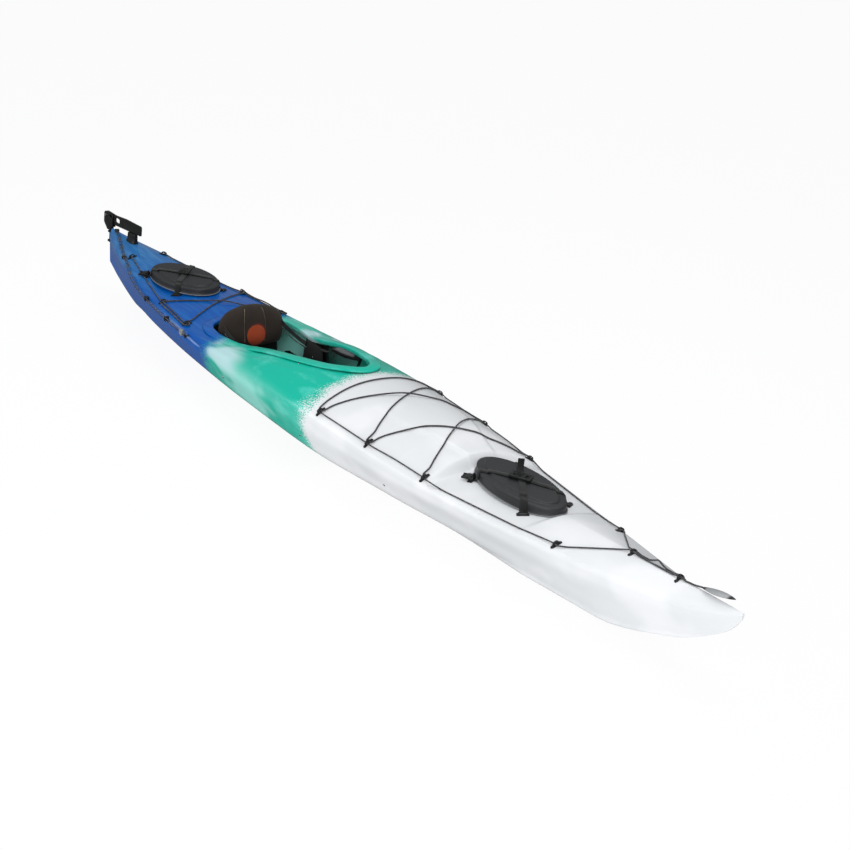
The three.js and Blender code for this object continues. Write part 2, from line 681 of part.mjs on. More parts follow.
// A place given in an eye's own axes: along the boat, outboard of its middle, and up from its foot
function atEye(eye, along, aside, up = eyeCentre) {
  const { position, rotation } = eyePlace(eye);
  const side = eye[1] < 0 ? -1 : 1;
  return point(along, side * aside, up).applyEuler(new THREE.Euler(...rotation)).add(position);
}

const onDeck = (x, y, diameter, lift = 0) => point(x, y, deckTop(x, y) + diameter / 2 + cordLift + lift);

// A run of cord over the deck between two places, with a hump where it crosses over another
function runOver([x0, y0], [x1, y1], diameter, steps, hump = 0, humpAt = 0.5) {
  return Array.from({ length: steps }, (_, i) => {
    const t = (i + 1) / (steps + 1);
    const lift = hump * Math.exp(-(((t - humpAt) / 0.12) ** 2));
    return onDeck(share(x0, x1, t), share(y0, y1, t), diameter, lift);
  });
}

// The three points that take a cord through an eye, forward or aft, at its inboard or outboard side
const throughEye = (eye, heading, aside) => (
  [-1, 0, 1].map((t) => atEye(eye, heading * t * eyeDepth * 0.9, aside))
);

const bungeeAside = -4.6;
const lineAside = 4.8;
const outboardAside = 19;
const cordLift = 4.5;
const crossingGap = 1.5;
const eyeLead = 14;
const bungeeLead = 22;
const linkHump = 4;
const turnRise = 2;
const mirrorEye = ([x, y]) => [x, -y];

function foredeckBungee() {
  const [s1, s2, s3] = foreEyes.slice(0, 3).map(mirrorEye);
  const [p1, p2, p3] = foreEyes;
  const crossing = bungeeDiameter + crossingGap;
  const route = [
    ...throughEye(s3, -1, bungeeAside),
    ...runOver(s3, p2, bungeeDiameter, 8, crossing, 0.5),
    ...throughEye(p2, -1, bungeeAside),
    ...runOver(p2, s1, bungeeDiameter, 8, crossing, 0.5),
    ...throughEye(s1, -1, bungeeAside),
    ...runOver([s1[0] - bungeeLead, s1[1]], [p1[0] - bungeeLead, p1[1]], bungeeDiameter, 11),
    ...throughEye(p1, 1, bungeeAside),
    ...runOver(p1, s2, bungeeDiameter, 8),
    ...throughEye(s2, 1, bungeeAside),
    ...runOver(s2, p3, bungeeDiameter, 8),
    ...throughEye(p3, 1, bungeeAside),
  ];
  addPiece('foredeck_bungee', cordTube(route, bungeeDiameter), cordColour);
}

// A cord's turn round an eye, from its hole to the outboard side of its foot, ahead of it or behind it
function turnRound(eye, heading, rise = 0) {
  const at = (reach, t, lift) => (
    atEye(eye, heading * reach, share(bungeeAside, outboardAside, t), eyeCentre + lift)
  );
  return [at(eyeDepth * 1.6, 0.12, rise), at(eyeDepth * 2.1, 0.5, rise), at(eyeDepth * 1.6, 0.88, rise / 2),
    at(eyeDepth * 0.9, 1, 0)];
}

function outboardLink([x0, y0], [x1, y1]) {
  const side = y0 > 0 ? 1 : -1;
  const [start, stop] = [[x0, y0 + side * outboardAside], [x1, y1 + side * outboardAside]];
  return runOver(start, stop, bungeeDiameter, 4, linkHump);
}

function aftBungee() {
  const [s2, s3] = aftEyes.slice(1).map(mirrorEye);
  const [p2, p3] = aftEyes.slice(1);
  const route = [
    ...throughEye(s2, 1, bungeeAside),
    ...runOver(s2, p3, bungeeDiameter, 7, bungeeDiameter + crossingGap),
    ...throughEye(p3, 1, bungeeAside),
    ...turnRound(p3, 1),
    ...outboardLink(p3, p2),
    ...turnRound(p2, -1, lineDiameter + turnRise).reverse(),
    ...throughEye(p2, 1, bungeeAside),
    ...runOver(p2, s3, bungeeDiameter, 7),
    ...throughEye(s3, 1, bungeeAside),
    ...turnRound(s3, 1),
    ...outboardLink(s3, s2).slice(0, 3),
    atEye(s2, eyeDepth, outboardAside),
  ];
  addPiece('aft_bungee', cordTube(route, bungeeDiameter), cordColour);
}

const lineRun = ([x0, y0], [x1, y1], aside) => (
  runOver([x0 + eyeLead, y0 + aside], [x1 - eyeLead, y1 + aside], lineDiameter, 4)
);

// Perimeter line of the aft deck on one side
function aftLine(name, side) {
  const eyes = aftEyes.map(([x, y]) => [x, side * y]);
  const aside = side * lineAside;
  const route = eyes.flatMap((eye, i) => {
    const next = eyes[i + 1];
    const run = next ? lineRun(eye, next, aside) : [];
    return [...throughEye(eye, 1, lineAside), ...run];
  });
  addPiece(name, cordTube(route, lineDiameter), cordColour);
}

// Perimeter line on one side of the foredeck, on to the join eye at the bow
function foredeckLine(name, side) {
  const eyes = foreEyes.map(([x, y]) => [x, side * y]);
  const route = [];
  eyes.forEach((eye, i) => {
    route.push(...throughEye(eye, 1, lineAside));
    const next = i < eyes.length - 1 ? eyes[i + 1] : [joinEye[0] - eyeDepth, 0];
    const aside = side * lineAside;
    route.push(...lineRun(eye, next, aside));
  });
  route.push(atEye(joinEye, -eyeDepth * 1.3, side * lineAside));
  addPiece(name, cordTube(route, lineDiameter), cordColour);
}

// Bow carry handle: a cord from the join eye to a lens-shaped grip, with a bungee beside it
const handleLength = 152;
const handleWidth = 36;
const handleThickness = 15;
const handleGap = 82;
const handlePitch = 0.17;
const handleEndShare = 0.012;
const handleLead = 0.7;
const handleKnuckle = handleLead + eyeHoleSink;
const handleAft = [handleEye[0] + handleGap + eyeLead, 0];
const handleStand = 3;
const handleCordAside = 5;
const bowBungeeHump = 14;

function bowCords() {
  const [joinX, eyeX] = [joinEye[0], handleEye[0]];
  const inEye = (x, y) => throughEye([x, 0], 1, y);
  const cordY = -handleCordAside;
  const cord = [
    ...inEye(joinX, cordY), ...runOver([joinX + eyeLead, cordY], [eyeX - eyeLead, cordY], bungeeDiameter, 5),
    ...inEye(eyeX, cordY), ...runOver([eyeX + eyeLead, cordY], [handleAft[0], 0], bungeeDiameter, 3),
    point(handleAft[0] - handleKnuckle, 0, handleHeight()),
  ];
  addPiece('bow_handle_cord', cordTube(cord, bungeeDiameter), cordColour);
  const raised = [
    ...inEye(joinX, -cordY),
    ...runOver([joinX + eyeLead, -cordY], [eyeX - eyeLead, -cordY], bungeeDiameter, 7, bowBungeeHump),
    ...inEye(eyeX, -cordY),
  ];
  addPiece('bow_bungee', cordTube(raised, bungeeDiameter), cordColour);
}

const handleHeight = () => deckTop(handleAft[0], 0) + handleThickness / 2 + handleStand;

function bowHandle() {
  const steps = 10;
  const rings = Array.from({ length: steps + 1 }, (_, i) => {
    const t = share(handleEndShare, 1 - handleEndShare, i / steps);
    const swell = Math.sin(Math.PI * t) ** 0.75;
    return roundOutline([0, 0], 1, 10).map(([u, v]) => point(
      (t - handleEndShare) * handleLength - handleLead,
      (u * handleWidth * swell) / 2, (v * handleThickness * swell) / 2,
    ));
  });
  addPiece('bow_handle', loft(rings), greyPlasticColour, {
    position: point(handleAft[0], 0, handleHeight()), rotation: [0, -handlePitch, 0],
  });
}

// Rudder: bracket and pin on the stern post, a yoke that turns on the pin, a blade that flips over in it
const sternX = -halfLength;
const sternTop = crownReader(-1) * deckHeight;
const pinRadius = 4;
const pinReach = 22;
const pinEnd = 6;
const runningGap = 0.3;
const bracketPlate = 3;
const bracketWidth = 22;
const bracketHeight = 50;
const bracketDrop = 18;
const bracketHigh = sternTop - bracketDrop;
const bracketLow = bracketHigh - bracketHeight;
const lugThickness = 6;
const lugRadius = 11;
const lugSink = 1;
const pinX = sternX - pinReach;
const yokeStand = 4;
const yokeWebHeight = 38;
const yokeHeight = 92;
const yokeAftReach = 57;
const yokeForeReach = 39;
const yokeLow = bracketHigh + yokeStand;
const yokeWebTop = yokeLow + yokeWebHeight;
const yokeTop = yokeLow + yokeHeight;
const yokeAft = pinX - yokeAftReach;
const yokeFore = pinX + yokeForeReach;
const yokeCorner = 16;
const yokeHeel = 34;
const yokeChin = 22;
const yokeFoot = 17;
const webLength = 30;
const cheekThickness = 5;
const bladeThickness = 6;
const bladeSideGap = 1;
const bladeBevel = 0.8;
const pivotReach = 35;
const pivotHeight = 64;
const pivotX = pinX - pivotReach;
const pivotZ = yokeLow + pivotHeight;
const pivotRadius = 4;
const boltHead = 4;
const boltEnd = 3;
const bladeBoss = 18;
const bladeLength = 273;
const bladeTipDrop = 9;
const bladeTipRise = 37;
const bladeHeelDrop = 29;
const bladeTipX = yokeFore + bladeLength;
const bladeTipLow = pivotZ - bladeTipDrop;
const bladeTipHigh = pivotZ + bladeTipRise;
const bladeHeel = pivotZ - bladeHeelDrop;
const bladeHeelReach = 8;
const bladeTipRound = 9;
const bladeTopDrop = 6;
const bladeNeckDrop = 16;
const bladeWebGap = 4;
const windowLength = 44;
const windowHeight = 22;
const windowCorner = 8;
const windowReach = 36;
const restPlaceShare = 0.667;
const restX = share(yokeFore, bladeTipX, restPlaceShare);
const restLength = 24;
const restWidth = 34;
const restTopWidth = 18;
const restFoot = 4;

function rudderBracket() {
  const backX = sternX - seatGap - bracketPlate;
  const back = new THREE.BoxGeometry(bracketPlate, bracketWidth, bracketHigh - bracketLow)
    .translate(sternX - seatGap - bracketPlate / 2, 0, (bracketHigh + bracketLow) / 2);
  const lug = (z) => {
    const nose = roundOutline([pinX, 0], lugRadius, 8, Math.PI / 2, (3 * Math.PI) / 2);
    const bore = roundOutline([pinX, 0], pinRadius + runningGap, 12).reverse();
    const root = backX + lugSink;
    return plate([...nose, [root, -lugRadius], [root, lugRadius]], lugThickness, [bore]).translate(0, 0, z);
  };
  const lugs = [bracketLow + lugThickness / 2, bracketHigh - lugThickness / 2].map(lug);
  addPiece('rudder_bracket', join(back, ...lugs), plasticColour);
  const pin = barAlong(point(pinX, 0, bracketLow - pinEnd), point(pinX, 0, yokeWebTop - seatGap), pinRadius);
  addPiece('rudder_pin', pin, steelColour);
}

const slotHalf = bladeThickness / 2 + bladeSideGap;

function rudderYoke() {
  const [highZ, heelZ] = [yokeTop - yokeCorner, yokeLow + yokeHeel];
  const cheek = [
    ...roundOutline([yokeFore - yokeCorner, highZ], yokeCorner, 4, 0, Math.PI / 2),
    ...roundOutline([yokeAft + yokeCorner, highZ], yokeCorner, 4, Math.PI / 2, Math.PI),
    ...roundOutline([yokeAft + yokeCorner, heelZ], yokeCorner, 3, Math.PI, Math.PI * 1.35),
    [pinX - yokeFoot, yokeLow], [pinX + yokeFoot, yokeLow], [pinX + yokeFoot, yokeLow + yokeFoot],
    [yokeFore, yokeLow + yokeChin],
  ];
  const cheekY = slotHalf + cheekThickness / 2;
  const cheekAt = (side) => standAlongX(plate(cheek, cheekThickness)).translate(0, side * cheekY, 0);
  const web = new THREE.BoxGeometry(webLength, slotHalf * 2 + cheekThickness / 2, yokeWebTop - yokeLow)
    .translate(pinX, 0, (yokeWebTop + yokeLow) / 2);
  const pinBore = barAlong(
    point(pinX, 0, yokeLow - cutOverrun), point(pinX, 0, yokeWebTop + pinRadius), pinRadius + runningGap,
  );
  const [boltStart, boltStop] = [point(pivotX, -cutOverrun, pivotZ), point(pivotX, cutOverrun, pivotZ)];
  const boltBore = barAlong(boltStart, boltStop, pivotRadius + runningGap);
  addPiece('rudder_yoke', cut(join(cheekAt(1), cheekAt(-1), web), pinBore, boltBore), plasticColour);
  const half = slotHalf + cheekThickness + seatGap;
  const reach = half + boltEnd;
  const bolt = barAlong(point(pivotX, -reach, pivotZ), point(pivotX, reach, pivotZ), pivotRadius);
  const heads = [1, -1].map((side) => barAlong(
    point(pivotX, side * half, pivotZ), point(pivotX, side * (half + boltHead), pivotZ), pivotRadius * 2,
  ));
  addPiece('rudder_pivot_bolt', join(bolt, ...heads), steelColour);
}

// Height of the stowed blade's lower edge at a place along it
const heelX = yokeFore + bladeHeelReach;
const bladeLower = (x) => share(bladeHeel, bladeTipLow, Math.max(0, (x - heelX) / (bladeTipX - heelX)));

function rudderBlade() {
  const tipX = bladeTipX - bladeTipRound;
  const outline = [
    ...roundOutline([pivotX, pivotZ], bladeBoss, 8, Math.PI * 0.55, Math.PI * 1.5),
    [pinX - yokeFoot, pivotZ - bladeBoss], [pinX + yokeFoot, yokeWebTop + bladeWebGap], [heelX, bladeHeel],
    [restX, bladeLower(restX)], [tipX, bladeTipLow - seatGap],
    ...roundOutline([tipX, bladeTipLow + bladeTipRound], bladeTipRound, 2, Math.PI * 1.6, Math.PI * 2),
    ...roundOutline([tipX, bladeTipHigh - bladeTipRound], bladeTipRound, 3, 0, Math.PI / 2),
    [share(bladeTipX, pivotX, 0.45), bladeTipHigh - bladeTopDrop],
    [share(bladeTipX, pivotX, 0.72), bladeTipHigh - bladeNeckDrop],
  ];
  const window = roundedBox(windowLength / 2, windowHeight / 2, windowCorner, 2)
    .map(([u, v]) => [u + yokeFore + windowReach, v + pivotZ]).reverse();
  const bore = roundOutline([pivotX, pivotZ], pivotRadius + runningGap, 12).reverse();
  const blade = plate(outline, bladeThickness, [window, bore], bladeBevel);
  addPiece('rudder_blade', standAlongX(blade), plasticColour);
}

function rudderRest() {
  const top = bladeLower(restX - restLength / 2) - seatGap;
  const ends = [-1, 0, 1].map((end) => restX + (end * restLength) / 2);
  const foot = (y) => Math.max(...ends.map((x) => deckTop(x, y))) + 3 * seatGap;
  const half = restWidth / 2;
  const outline = [
    [half, foot(half)], [half, foot(half) + restFoot], [restTopWidth / 2, top],
    [-restTopWidth / 2, top], [-half, foot(half) + restFoot], [-half, foot(half)],
    [-half / 3, foot(half / 3)], [0, foot(0)], [half / 3, foot(half / 3)],
  ];
  addPiece('rudder_rest', standAcross(plate(outline, restLength)).translate(restX, 0, 0), plasticColour);
}

// Rudder lift line: a loop from the stern along the starboard edge to a post by the cockpit
const liftPitch = 10;
const liftInset = 13;
const liftOffset = 9;
const liftDrop = 14;
const liftRise = 5;
const sternGuideShare = -0.978;
const deckGuideShare = -0.843;
const sideStartShare = -0.665;
const sideGuideShare = -0.637;
const straightShare = -0.515;
const postShare = -0.412;
// The line's points from its start past the deck guide, down on to the hull's side, and along it
const liftRunShares = [
  -0.9808, -0.9555, -0.8993, -0.8525, -0.8337, -0.8056, -0.7775, -0.7494, -0.7213, -0.6932, sideStartShare,
  sideGuideShare, -0.5761, straightShare,
];
const liftXs = liftRunShares.map(atShare);
const [sternGuideX, deckGuideX, postX] = [sternGuideShare, deckGuideShare, postShare].map(atShare);
const [sideStartX, sideGuideX, straightX] = [sideStartShare, sideGuideShare, straightShare].map(atShare);
const postHead = 3;
const guideLength = 26;
const guideWidth = 24;
const guideCover = 5;
const liftDiameter = lineDiameter - 1;

function smoothStep(from, to, x) {
  const t = Math.min(1, Math.max(0, (x - from) / (to - from)));
  return t * t * (3 - 2 * t);
}

// Middle of the two runs at a place, and how far they have turned from side by side to one above the other
function liftMiddle(x) {
  const edge = breadthAt(x);
  const turned = smoothStep(deckGuideX, sideStartX, x);
  const start = breadthAt(deckGuideX) - liftInset;
  const aft = start * Math.max(0, (x - sternGuideX) / (deckGuideX - sternGuideX));
  const aside = x < deckGuideX ? aft : edge + share(-liftInset, liftOffset, Math.min(1, 2 * turned));
  const deckZ = deckTop(x, Math.min(aside, edge - seatGap)) + liftRise;
  const z = share(deckZ, sheerHeightAt(x) - liftDrop, Math.max(0, 2 * turned - 1));
  return { middle: point(x, -aside, z), turned };
}

function liftPlace(x, low) {
  const { middle, turned } = liftMiddle(x);
  const off = (low - 0.5) * liftPitch;
  const angle = (turned * Math.PI) / 2;
  return middle.add(point(0, -off * Math.cos(angle), -off * Math.sin(angle)));
}

function liftRoute() {
  const straight = (low, t) => liftPlace(straightX, low).lerp(liftPlace(postX, low), t);
  const run = (low) => [...liftXs.map((x) => liftPlace(x, low)), straight(low, 0.5), straight(low, 1)];
  const centre = straight(0, 1).add(straight(1, 1)).multiplyScalar(0.5);
  const turn = [45, 0, -45].map((degrees) => {
    const angle = THREE.MathUtils.degToRad(degrees);
    return centre.clone().add(point(Math.cos(angle), 0, Math.sin(angle)).multiplyScalar(liftPitch / 2));
  });
  return [...run(0), ...turn, ...run(1).reverse()];
}

const liftLineTube = (diameter) => cordTube(liftRoute(), diameter);

// A guide moulded on the boat with a hole for each run of the line
function liftGuide(x) {
  const { middle, turned } = liftMiddle(x);
  const heading = Math.atan2(liftMiddle(x + guideLength).middle.y - middle.y, guideLength);
  const clear = turned > 0.5 ? -middle.y - insideBreadth(x, middle.z) - hullWall : liftRise;
  const sink = clear + hullWall / 2;
  return new THREE.BoxGeometry(guideLength, guideWidth, sink + guideCover)
    .translate(0, 0, (guideCover - sink) / 2).rotateX((turned * Math.PI) / 2).rotateZ(heading)
    .translate(middle.x, middle.y, middle.z);
}

function liftPost() {
  const { middle } = liftMiddle(postX);
  const stem = liftPitch / 2 - liftDiameter / 2 - seatGap;
  const inner = -insideBreadth(postX, middle.z) - hullWall / 2;
  const face = middle.y - liftDiameter / 2 - seatGap;
  const bar = barAlong(point(postX, inner, middle.z), point(postX, face - postHead, middle.z), stem);
  const [headStart, headStop] = [point(postX, face, middle.z), point(postX, face - postHead, middle.z)];
  const head = barAlong(headStart, headStop, liftPitch / 2 + liftDiameter);
  return join(bar, head);
}

// Toggle clamped on both runs of the lift line, which slides aft as the rudder goes down
const toggleShare = -0.4356;
const toggleX = atShare(toggleShare);
const toggleCorner = 7;
const toggleBevel = 1.5;
const toggleLength = 26;
const toggleThickness = 11;
const toggleHeight = 26;
const toggleBore = 0.4;

function liftToggle() {
  const t = (toggleX - straightX) / (postX - straightX);
  const middle = liftMiddle(straightX).middle.lerp(liftMiddle(postX).middle, t);
  const heading = Math.atan2(liftMiddle(postX).middle.y - liftMiddle(straightX).middle.y, postX - straightX);
  const outline = roundedBox(toggleLength / 2, toggleHeight / 2, toggleCorner, 2);
  const body = standAlongX(plate(outline, toggleThickness, [], toggleBevel)).rotateZ(heading)
    .translate(middle.x, middle.y, middle.z);
  addPiece('lift_line_toggle', cut(body, liftLineTube(liftDiameter + 2 * toggleBore)), greyPlasticColour);
}

// Seat: a moulded pan on the floor, with a cheek on each side up to the deck, a cushion, and a reclining back
const seatInset = 120;
const seatAftX = cockpitAftX + seatInset;
const seatLength = 425;
const seatForeX = seatAftX + seatLength;
const seatHalfWidth = 178;
const seatWall = 6;
const seatSide = 78;
const seatLean = 3;
const seatCorner = 34;
const seatTurn = 4;
const seatFrontDrop = 38;
const seatBackDrop = 18;
const seatBackRun = 30;
const seatSideRun = 65;
const cheekInset = 163;
const cheekLength = 164;
const cheekAftX = seatAftX + cheekInset;
const cheekForeX = cheekAftX + cheekLength;
const cheekSlope = 9;
const seatFootHalf = 34;
const seatFootShare = 0.75;
// Where the pan's section turns up into its side, as shares of its half width
const [turnShare, sideShare, innerTurnShare, innerSideShare] = [0.6, 0.86, 0.58, 0.83];
// Pan's floor: share of its length from the back, and height in shares of deckHeight
const seatFloorShares = [[0, 0.146], [0.1, 0.123], [0.45, 0.12], [0.8, 0.146], [1, 0.18]];
const seatFloor = smoothColumn(seatFloorShares, 1);
const panFloor = (x) => seatFloor((x - seatAftX) / (seatForeX - seatAftX)) * deckHeight;
const cheekClearance = 1.8;
const cheekTop = (x) => (
  Math.min(...[1, -1].map((side) => ceilingHeight(x, side * seatHalfWidth))) - cheekClearance
);

function panRing(x, top) {
  const floor = panFloor(x);
  const half = seatHalfWidth;
  const outer = [
    [0, floor - seatWall], [half * turnShare, floor - seatWall], [half * sideShare, floor + seatTurn],
    [half - seatLean, floor + seatCorner], [half, top],
  ];
  const inner = [[half - seatWall, top], [half - seatWall - seatLean, floor + seatCorner + seatLean],
    [half * innerSideShare, floor + seatTurn + seatWall], [half * innerTurnShare, floor], [0, floor]];
  const left = [...mirrored(inner.slice(0, -1)).reverse(), ...mirrored(outer.slice(1)).reverse()];
  return [...outer, ...inner, ...left].map(([y, z]) => point(x, y, z));
}

// Hinge of the seat's back
const hingeInset = 13;
const hingeRise = 61;
const hingeX = seatAftX + hingeInset;
const hingeZ = panFloor(hingeX) + hingeRise;
const hingePin = 4;
const hingeEye = 11;
const armY = 108;
const armWidth = 6;
const armGap = 0.5;
const armPinReach = 3;
const earFoot = 12;
const earSink = 2;
const backLean = 0.21;

function seatPan() {
  const low = (x) => panFloor(x) + seatSide;
  const cheeks = [0, 0.25, 0.5, 0.75, 1].map((t) => share(cheekAftX, cheekForeX, t))
    .map((x) => [x, cheekTop(x)]);
  const [backX, middleX] = [seatAftX + seatBackRun, seatAftX + seatSideRun];
  const [sideX, frontX] = [share(middleX, cheekAftX, 0.5), share(cheekForeX, seatForeX, 0.6)];
  const stationsAlong = [
    [seatAftX, low(seatAftX) - seatBackDrop], [backX, low(backX)], [middleX, low(middleX)],
    [sideX, low(sideX)], [cheekAftX - cheekSlope, low(cheekAftX)], ...cheeks,
    [cheekForeX + cheekSlope, low(cheekForeX) - cheekSlope], [frontX, low(frontX) - seatFrontDrop / 2],
    [seatForeX, low(seatForeX) - seatFrontDrop],
  ];
  const pan = loft(stationsAlong.map(([x, top]) => panRing(x, top)));
  const footTop = panFloor(share(seatAftX, seatForeX, 0.35)) - seatWall / 4;
  const footLow = hullWall + seatGap;
  const foot = new THREE.BoxGeometry(seatLength * seatFootShare, 2 * seatFootHalf, footTop - footLow)
    .translate((seatAftX + seatForeX) / 2, 0, (footTop + footLow) / 2);
  const ears = [1, -1].flatMap((side) => {
    const y = side * (armY + armWidth + armGap);
    const root = panFloor(hingeX) - earSink;
    const ear = [...roundOutline([hingeX, hingeZ], hingeEye, 6, 0, Math.PI), [hingeX - hingeEye, root],
      [hingeX + hingeEye + earFoot, root]];
    const pinEndY = side * (armY - armWidth / 2 - armPinReach);
    const pin = barAlong(point(hingeX, y, hingeZ), point(hingeX, pinEndY, hingeZ), hingePin);
    return [standAlongX(plate(ear, armWidth)).translate(0, y, 0), pin];
  });
  addPiece('seat_pan', join(pan, foot, ...ears), plasticColour);
}

// A stuffed form over a flat back: half sizes, and a height that falls to the edge and into its channels
function padForm(halfU, halfV, thickness, stepsU, stepsV, swell) {
  const edge = 0.12;
  const place = (i, k, front) => {
    const u = (2 * i) / stepsU - 1;
    const v = (2 * k) / stepsV - 1;
    const [pu, pv, rise] = swell(u, v);
    const depth = front ? thickness * (edge + (1 - edge) * rise) : 0;
    return point(pu * halfU, pv * halfV, depth);
  };
  const vertices = [true, false].flatMap((front) => Array.from({ length: (stepsU + 1) * (stepsV + 1) }, (_, n) => (
    place(n % (stepsU + 1), Math.floor(n / (stepsU + 1)), front)
  )));
  const at = (i, k, front) => (front ? 0 : (stepsU + 1) * (stepsV + 1)) + k * (stepsU + 1) + i;
  const faces = [];
  const quad = (a, b, c, d) => faces.push([a, b, c], [a, c, d]);
  for (let k = 0; k < stepsV; k += 1) {
    for (let i = 0; i < stepsU; i += 1) {
      quad(at(i, k, true), at(i + 1, k, true), at(i + 1, k + 1, true), at(i, k + 1, true));
      quad(at(i, k, false), at(i, k + 1, false), at(i + 1, k + 1, false), at(i + 1, k, false));
    }
  }
  for (let i = 0; i < stepsU; i += 1) {
    quad(at(i, 0, true), at(i, 0, false), at(i + 1, 0, false), at(i + 1, 0, true));
    quad(at(i + 1, stepsV, true), at(i + 1, stepsV, false), at(i, stepsV, false), at(i, stepsV, true));
  }
  for (let k = 0; k < stepsV; k += 1) {
    quad(at(0, k + 1, true), at(0, k + 1, false), at(0, k, false), at(0, k, true));
    quad(at(stepsU, k, true), at(stepsU, k, false), at(stepsU, k + 1, false), at(stepsU, k + 1, true));
  }
  return closedGeometry(vertices, faces);
}

const crownOf = (u, v) => ((1 - Math.abs(u) ** 3) * (1 - Math.abs(v) ** 3)) ** 0.5;
const groove = (u, at, width) => Math.exp(-(((u - at) / width) ** 2));

// Seat cushion, drawn in at its front corners, with two channels along it
const cushionHalfLength = 165;
const cushionHalfWidth = 140;
const cushionThickness = 26;
const cushionStand = 0.7;
const cushionInset = 225;
const cushionX = seatAftX + cushionInset;

function seatCushion() {
  const form = padForm(cushionHalfLength, cushionHalfWidth, cushionThickness, 8, 16, (u, v) => {
    const narrow = 1 - 0.1 * u * u - 0.04 * u;
    const grooves = groove(v, 0.34, 0.07) + groove(v, -0.34, 0.07);
    return [u * (1 - 0.05 * v * v), v * narrow, crownOf(u, v) * (1 - 0.3 * grooves)];
  });
  const seated = form.attributes.position;
  for (let i = 0; i < seated.count; i += 1) {
    const x = seated.getX(i) + cushionX;
    seated.setXYZ(i, x, seated.getY(i), seated.getZ(i) + panInside(x, Math.abs(seated.getY(i))) + seatGap);
  }
  addPiece('seat_cushion', form, padColour);
}

// Height of the pan's inner face at a place
function panInside(x, y) {
  const [flat, turn] = [seatHalfWidth * innerTurnShare, seatHalfWidth * innerSideShare];
  const rise = y > flat ? ((y - flat) / (turn - flat)) * (seatTurn + seatWall) : 0;
  return panFloor(x) + cushionStand + rise;
}

// Back rest: a barrel-shaped pad with two channels, on a plate with an arm to each hinge pin
const backHalfWidth = 145;
const backLow = 45;
const backHigh = 250;
const backThickness = 52;
const backPlateThickness = 5;
const backPlateInset = 22;
const backPlateDrop = 8;
const backPlateCorner = 34;
const backArmReach = 40;
const backArmSink = 1;

function seatBack() {
  const place = { position: point(hingeX, 0, hingeZ), rotation: [0, -backLean, 0] };
  const halfHeight = (backHigh - backLow) / 2;
  const form = padForm(backHalfWidth, halfHeight, backThickness, 20, 8, (u, v) => {
    const barrel = 1 - 0.13 * v * v - 0.05 * v;
    const arch = 1 - 0.16 * u * u;
    const grooves = groove(u, 0.3, 0.06) + groove(u, -0.3, 0.06);
    return [u * barrel, v * arch, crownOf(u, v) * (1 - 0.22 * grooves)];
  });
  const turned = form.attributes.position;
  for (let i = 0; i < turned.count; i += 1) {
    turned.setXYZ(i, turned.getZ(i) + backPlateThickness / 2 + seatGap, turned.getX(i),
      turned.getY(i) + backLow + halfHeight);
  }
  addPiece('seat_back', form, padColour, place);
  const outline = roundedBox(backHalfWidth - backPlateInset, halfHeight - backPlateDrop, backPlateCorner, 3)
    .map(([u, v]) => [u, v + backLow + halfHeight]);
  const panel = standAcross(plate(outline, backPlateThickness));
  const arms = [1, -1].map((side) => {
    const armTop = backLow + backArmReach;
    const arm = [...roundOutline([0, 0], hingeEye, 6, -Math.PI, 0), [backArmSink, backLow - backPlateDrop],
      [backArmSink, armTop], [-hingeEye, armTop]];
    const bore = roundOutline([0, 0], hingePin + runningGap, 12).reverse();
    return standAlongX(plate(arm, armWidth, [bore])).translate(0, side * armY, 0);
  });
  addPiece('seat_back_frame', join(panel, ...arms), plasticColour, place);
}

// Hip pads on the seat's cheeks, thigh braces under the deck, and a strap from one to the other
const hipPadHalf = 75;
const hipPadRise = 64;
const hipPadThickness = 21;
const hipPadDrop = 4;
const hipPadCorner = 14;
const hipPadBevel = 5;
const braceLead = 113;
const braceLength = 200;
const braceInset = 13;
const braceFlatWidth = 35;
const braceWingWidth = 27;
const braceAftX = cheekForeX + braceLead;
const braceOuter = seatHalfWidth - braceInset;
const braceFlat = braceOuter - braceFlatWidth;
const braceInner = braceFlat - braceWingWidth;
const braceSteps = 8;
const braceThickness = 8;
const braceDroop = 0.38;
const braceDrop = 7;
const braceGap = 0.95;
const hipStrapWidth = 20;
const hipStrapAside = 18;
const strapInset = braceFlat + hipStrapAside;
const hipStrapDrop = 28;
const hipStrapSag = 14;

function hipPad(side) {
  const x = (cheekAftX + cheekForeX) / 2;
  const high = cheekTop(x - hipPadHalf) - hipPadDrop;
  const low = panFloor(x) + hipPadRise;
  const outline = roundedBox(hipPadHalf, (high - low) / 2, hipPadCorner, 3);
  const y = seatHalfWidth - seatWall - seatLean - seatGap - hipPadThickness / 2;
  const pad = standAlongX(plate(outline, hipPadThickness, [], hipPadBevel))
    .translate(x, side * y, (high + low) / 2);
  addPiece(`hip_pad_${side > 0 ? 'port' : 'starboard'}`, pad, foamColour);
}

function thighBrace(side) {
  const ys = [braceOuter, (braceOuter + braceFlat) / 2, braceFlat, (braceFlat + braceInner) / 2, braceInner];
  const topAt = (x, y) => {
    const inboard = (braceOuter - Math.max(y, braceFlat)) / (braceOuter - braceFlat);
    const drop = share(braceGap, braceDrop, Math.min(1, inboard * 2));
    const under = ceilingHeight(x, side * Math.max(y, braceFlat)) - drop;
    return under - Math.max(0, braceFlat - y) * braceDroop;
  };
  const rings = Array.from({ length: braceSteps + 1 }, (_, i) => {
    const t = i / braceSteps;
    const x = braceAftX + t * braceLength;
    const reach = 1 - 0.5 * Math.abs(2 * t - 1) ** 2;
    const row = ys.map((y) => (y < braceFlat ? share(braceFlat, y, reach) : y));
    const top = row.map((y) => point(x, side * y, topAt(x, y)));
    const bottom = row.map((y) => point(x, side * y, topAt(x, y) - braceThickness)).reverse();
    return [...top, ...bottom];
  });
  addPiece(`thigh_brace_${side > 0 ? 'port' : 'starboard'}`, loft(rings), greyPlasticColour);
}

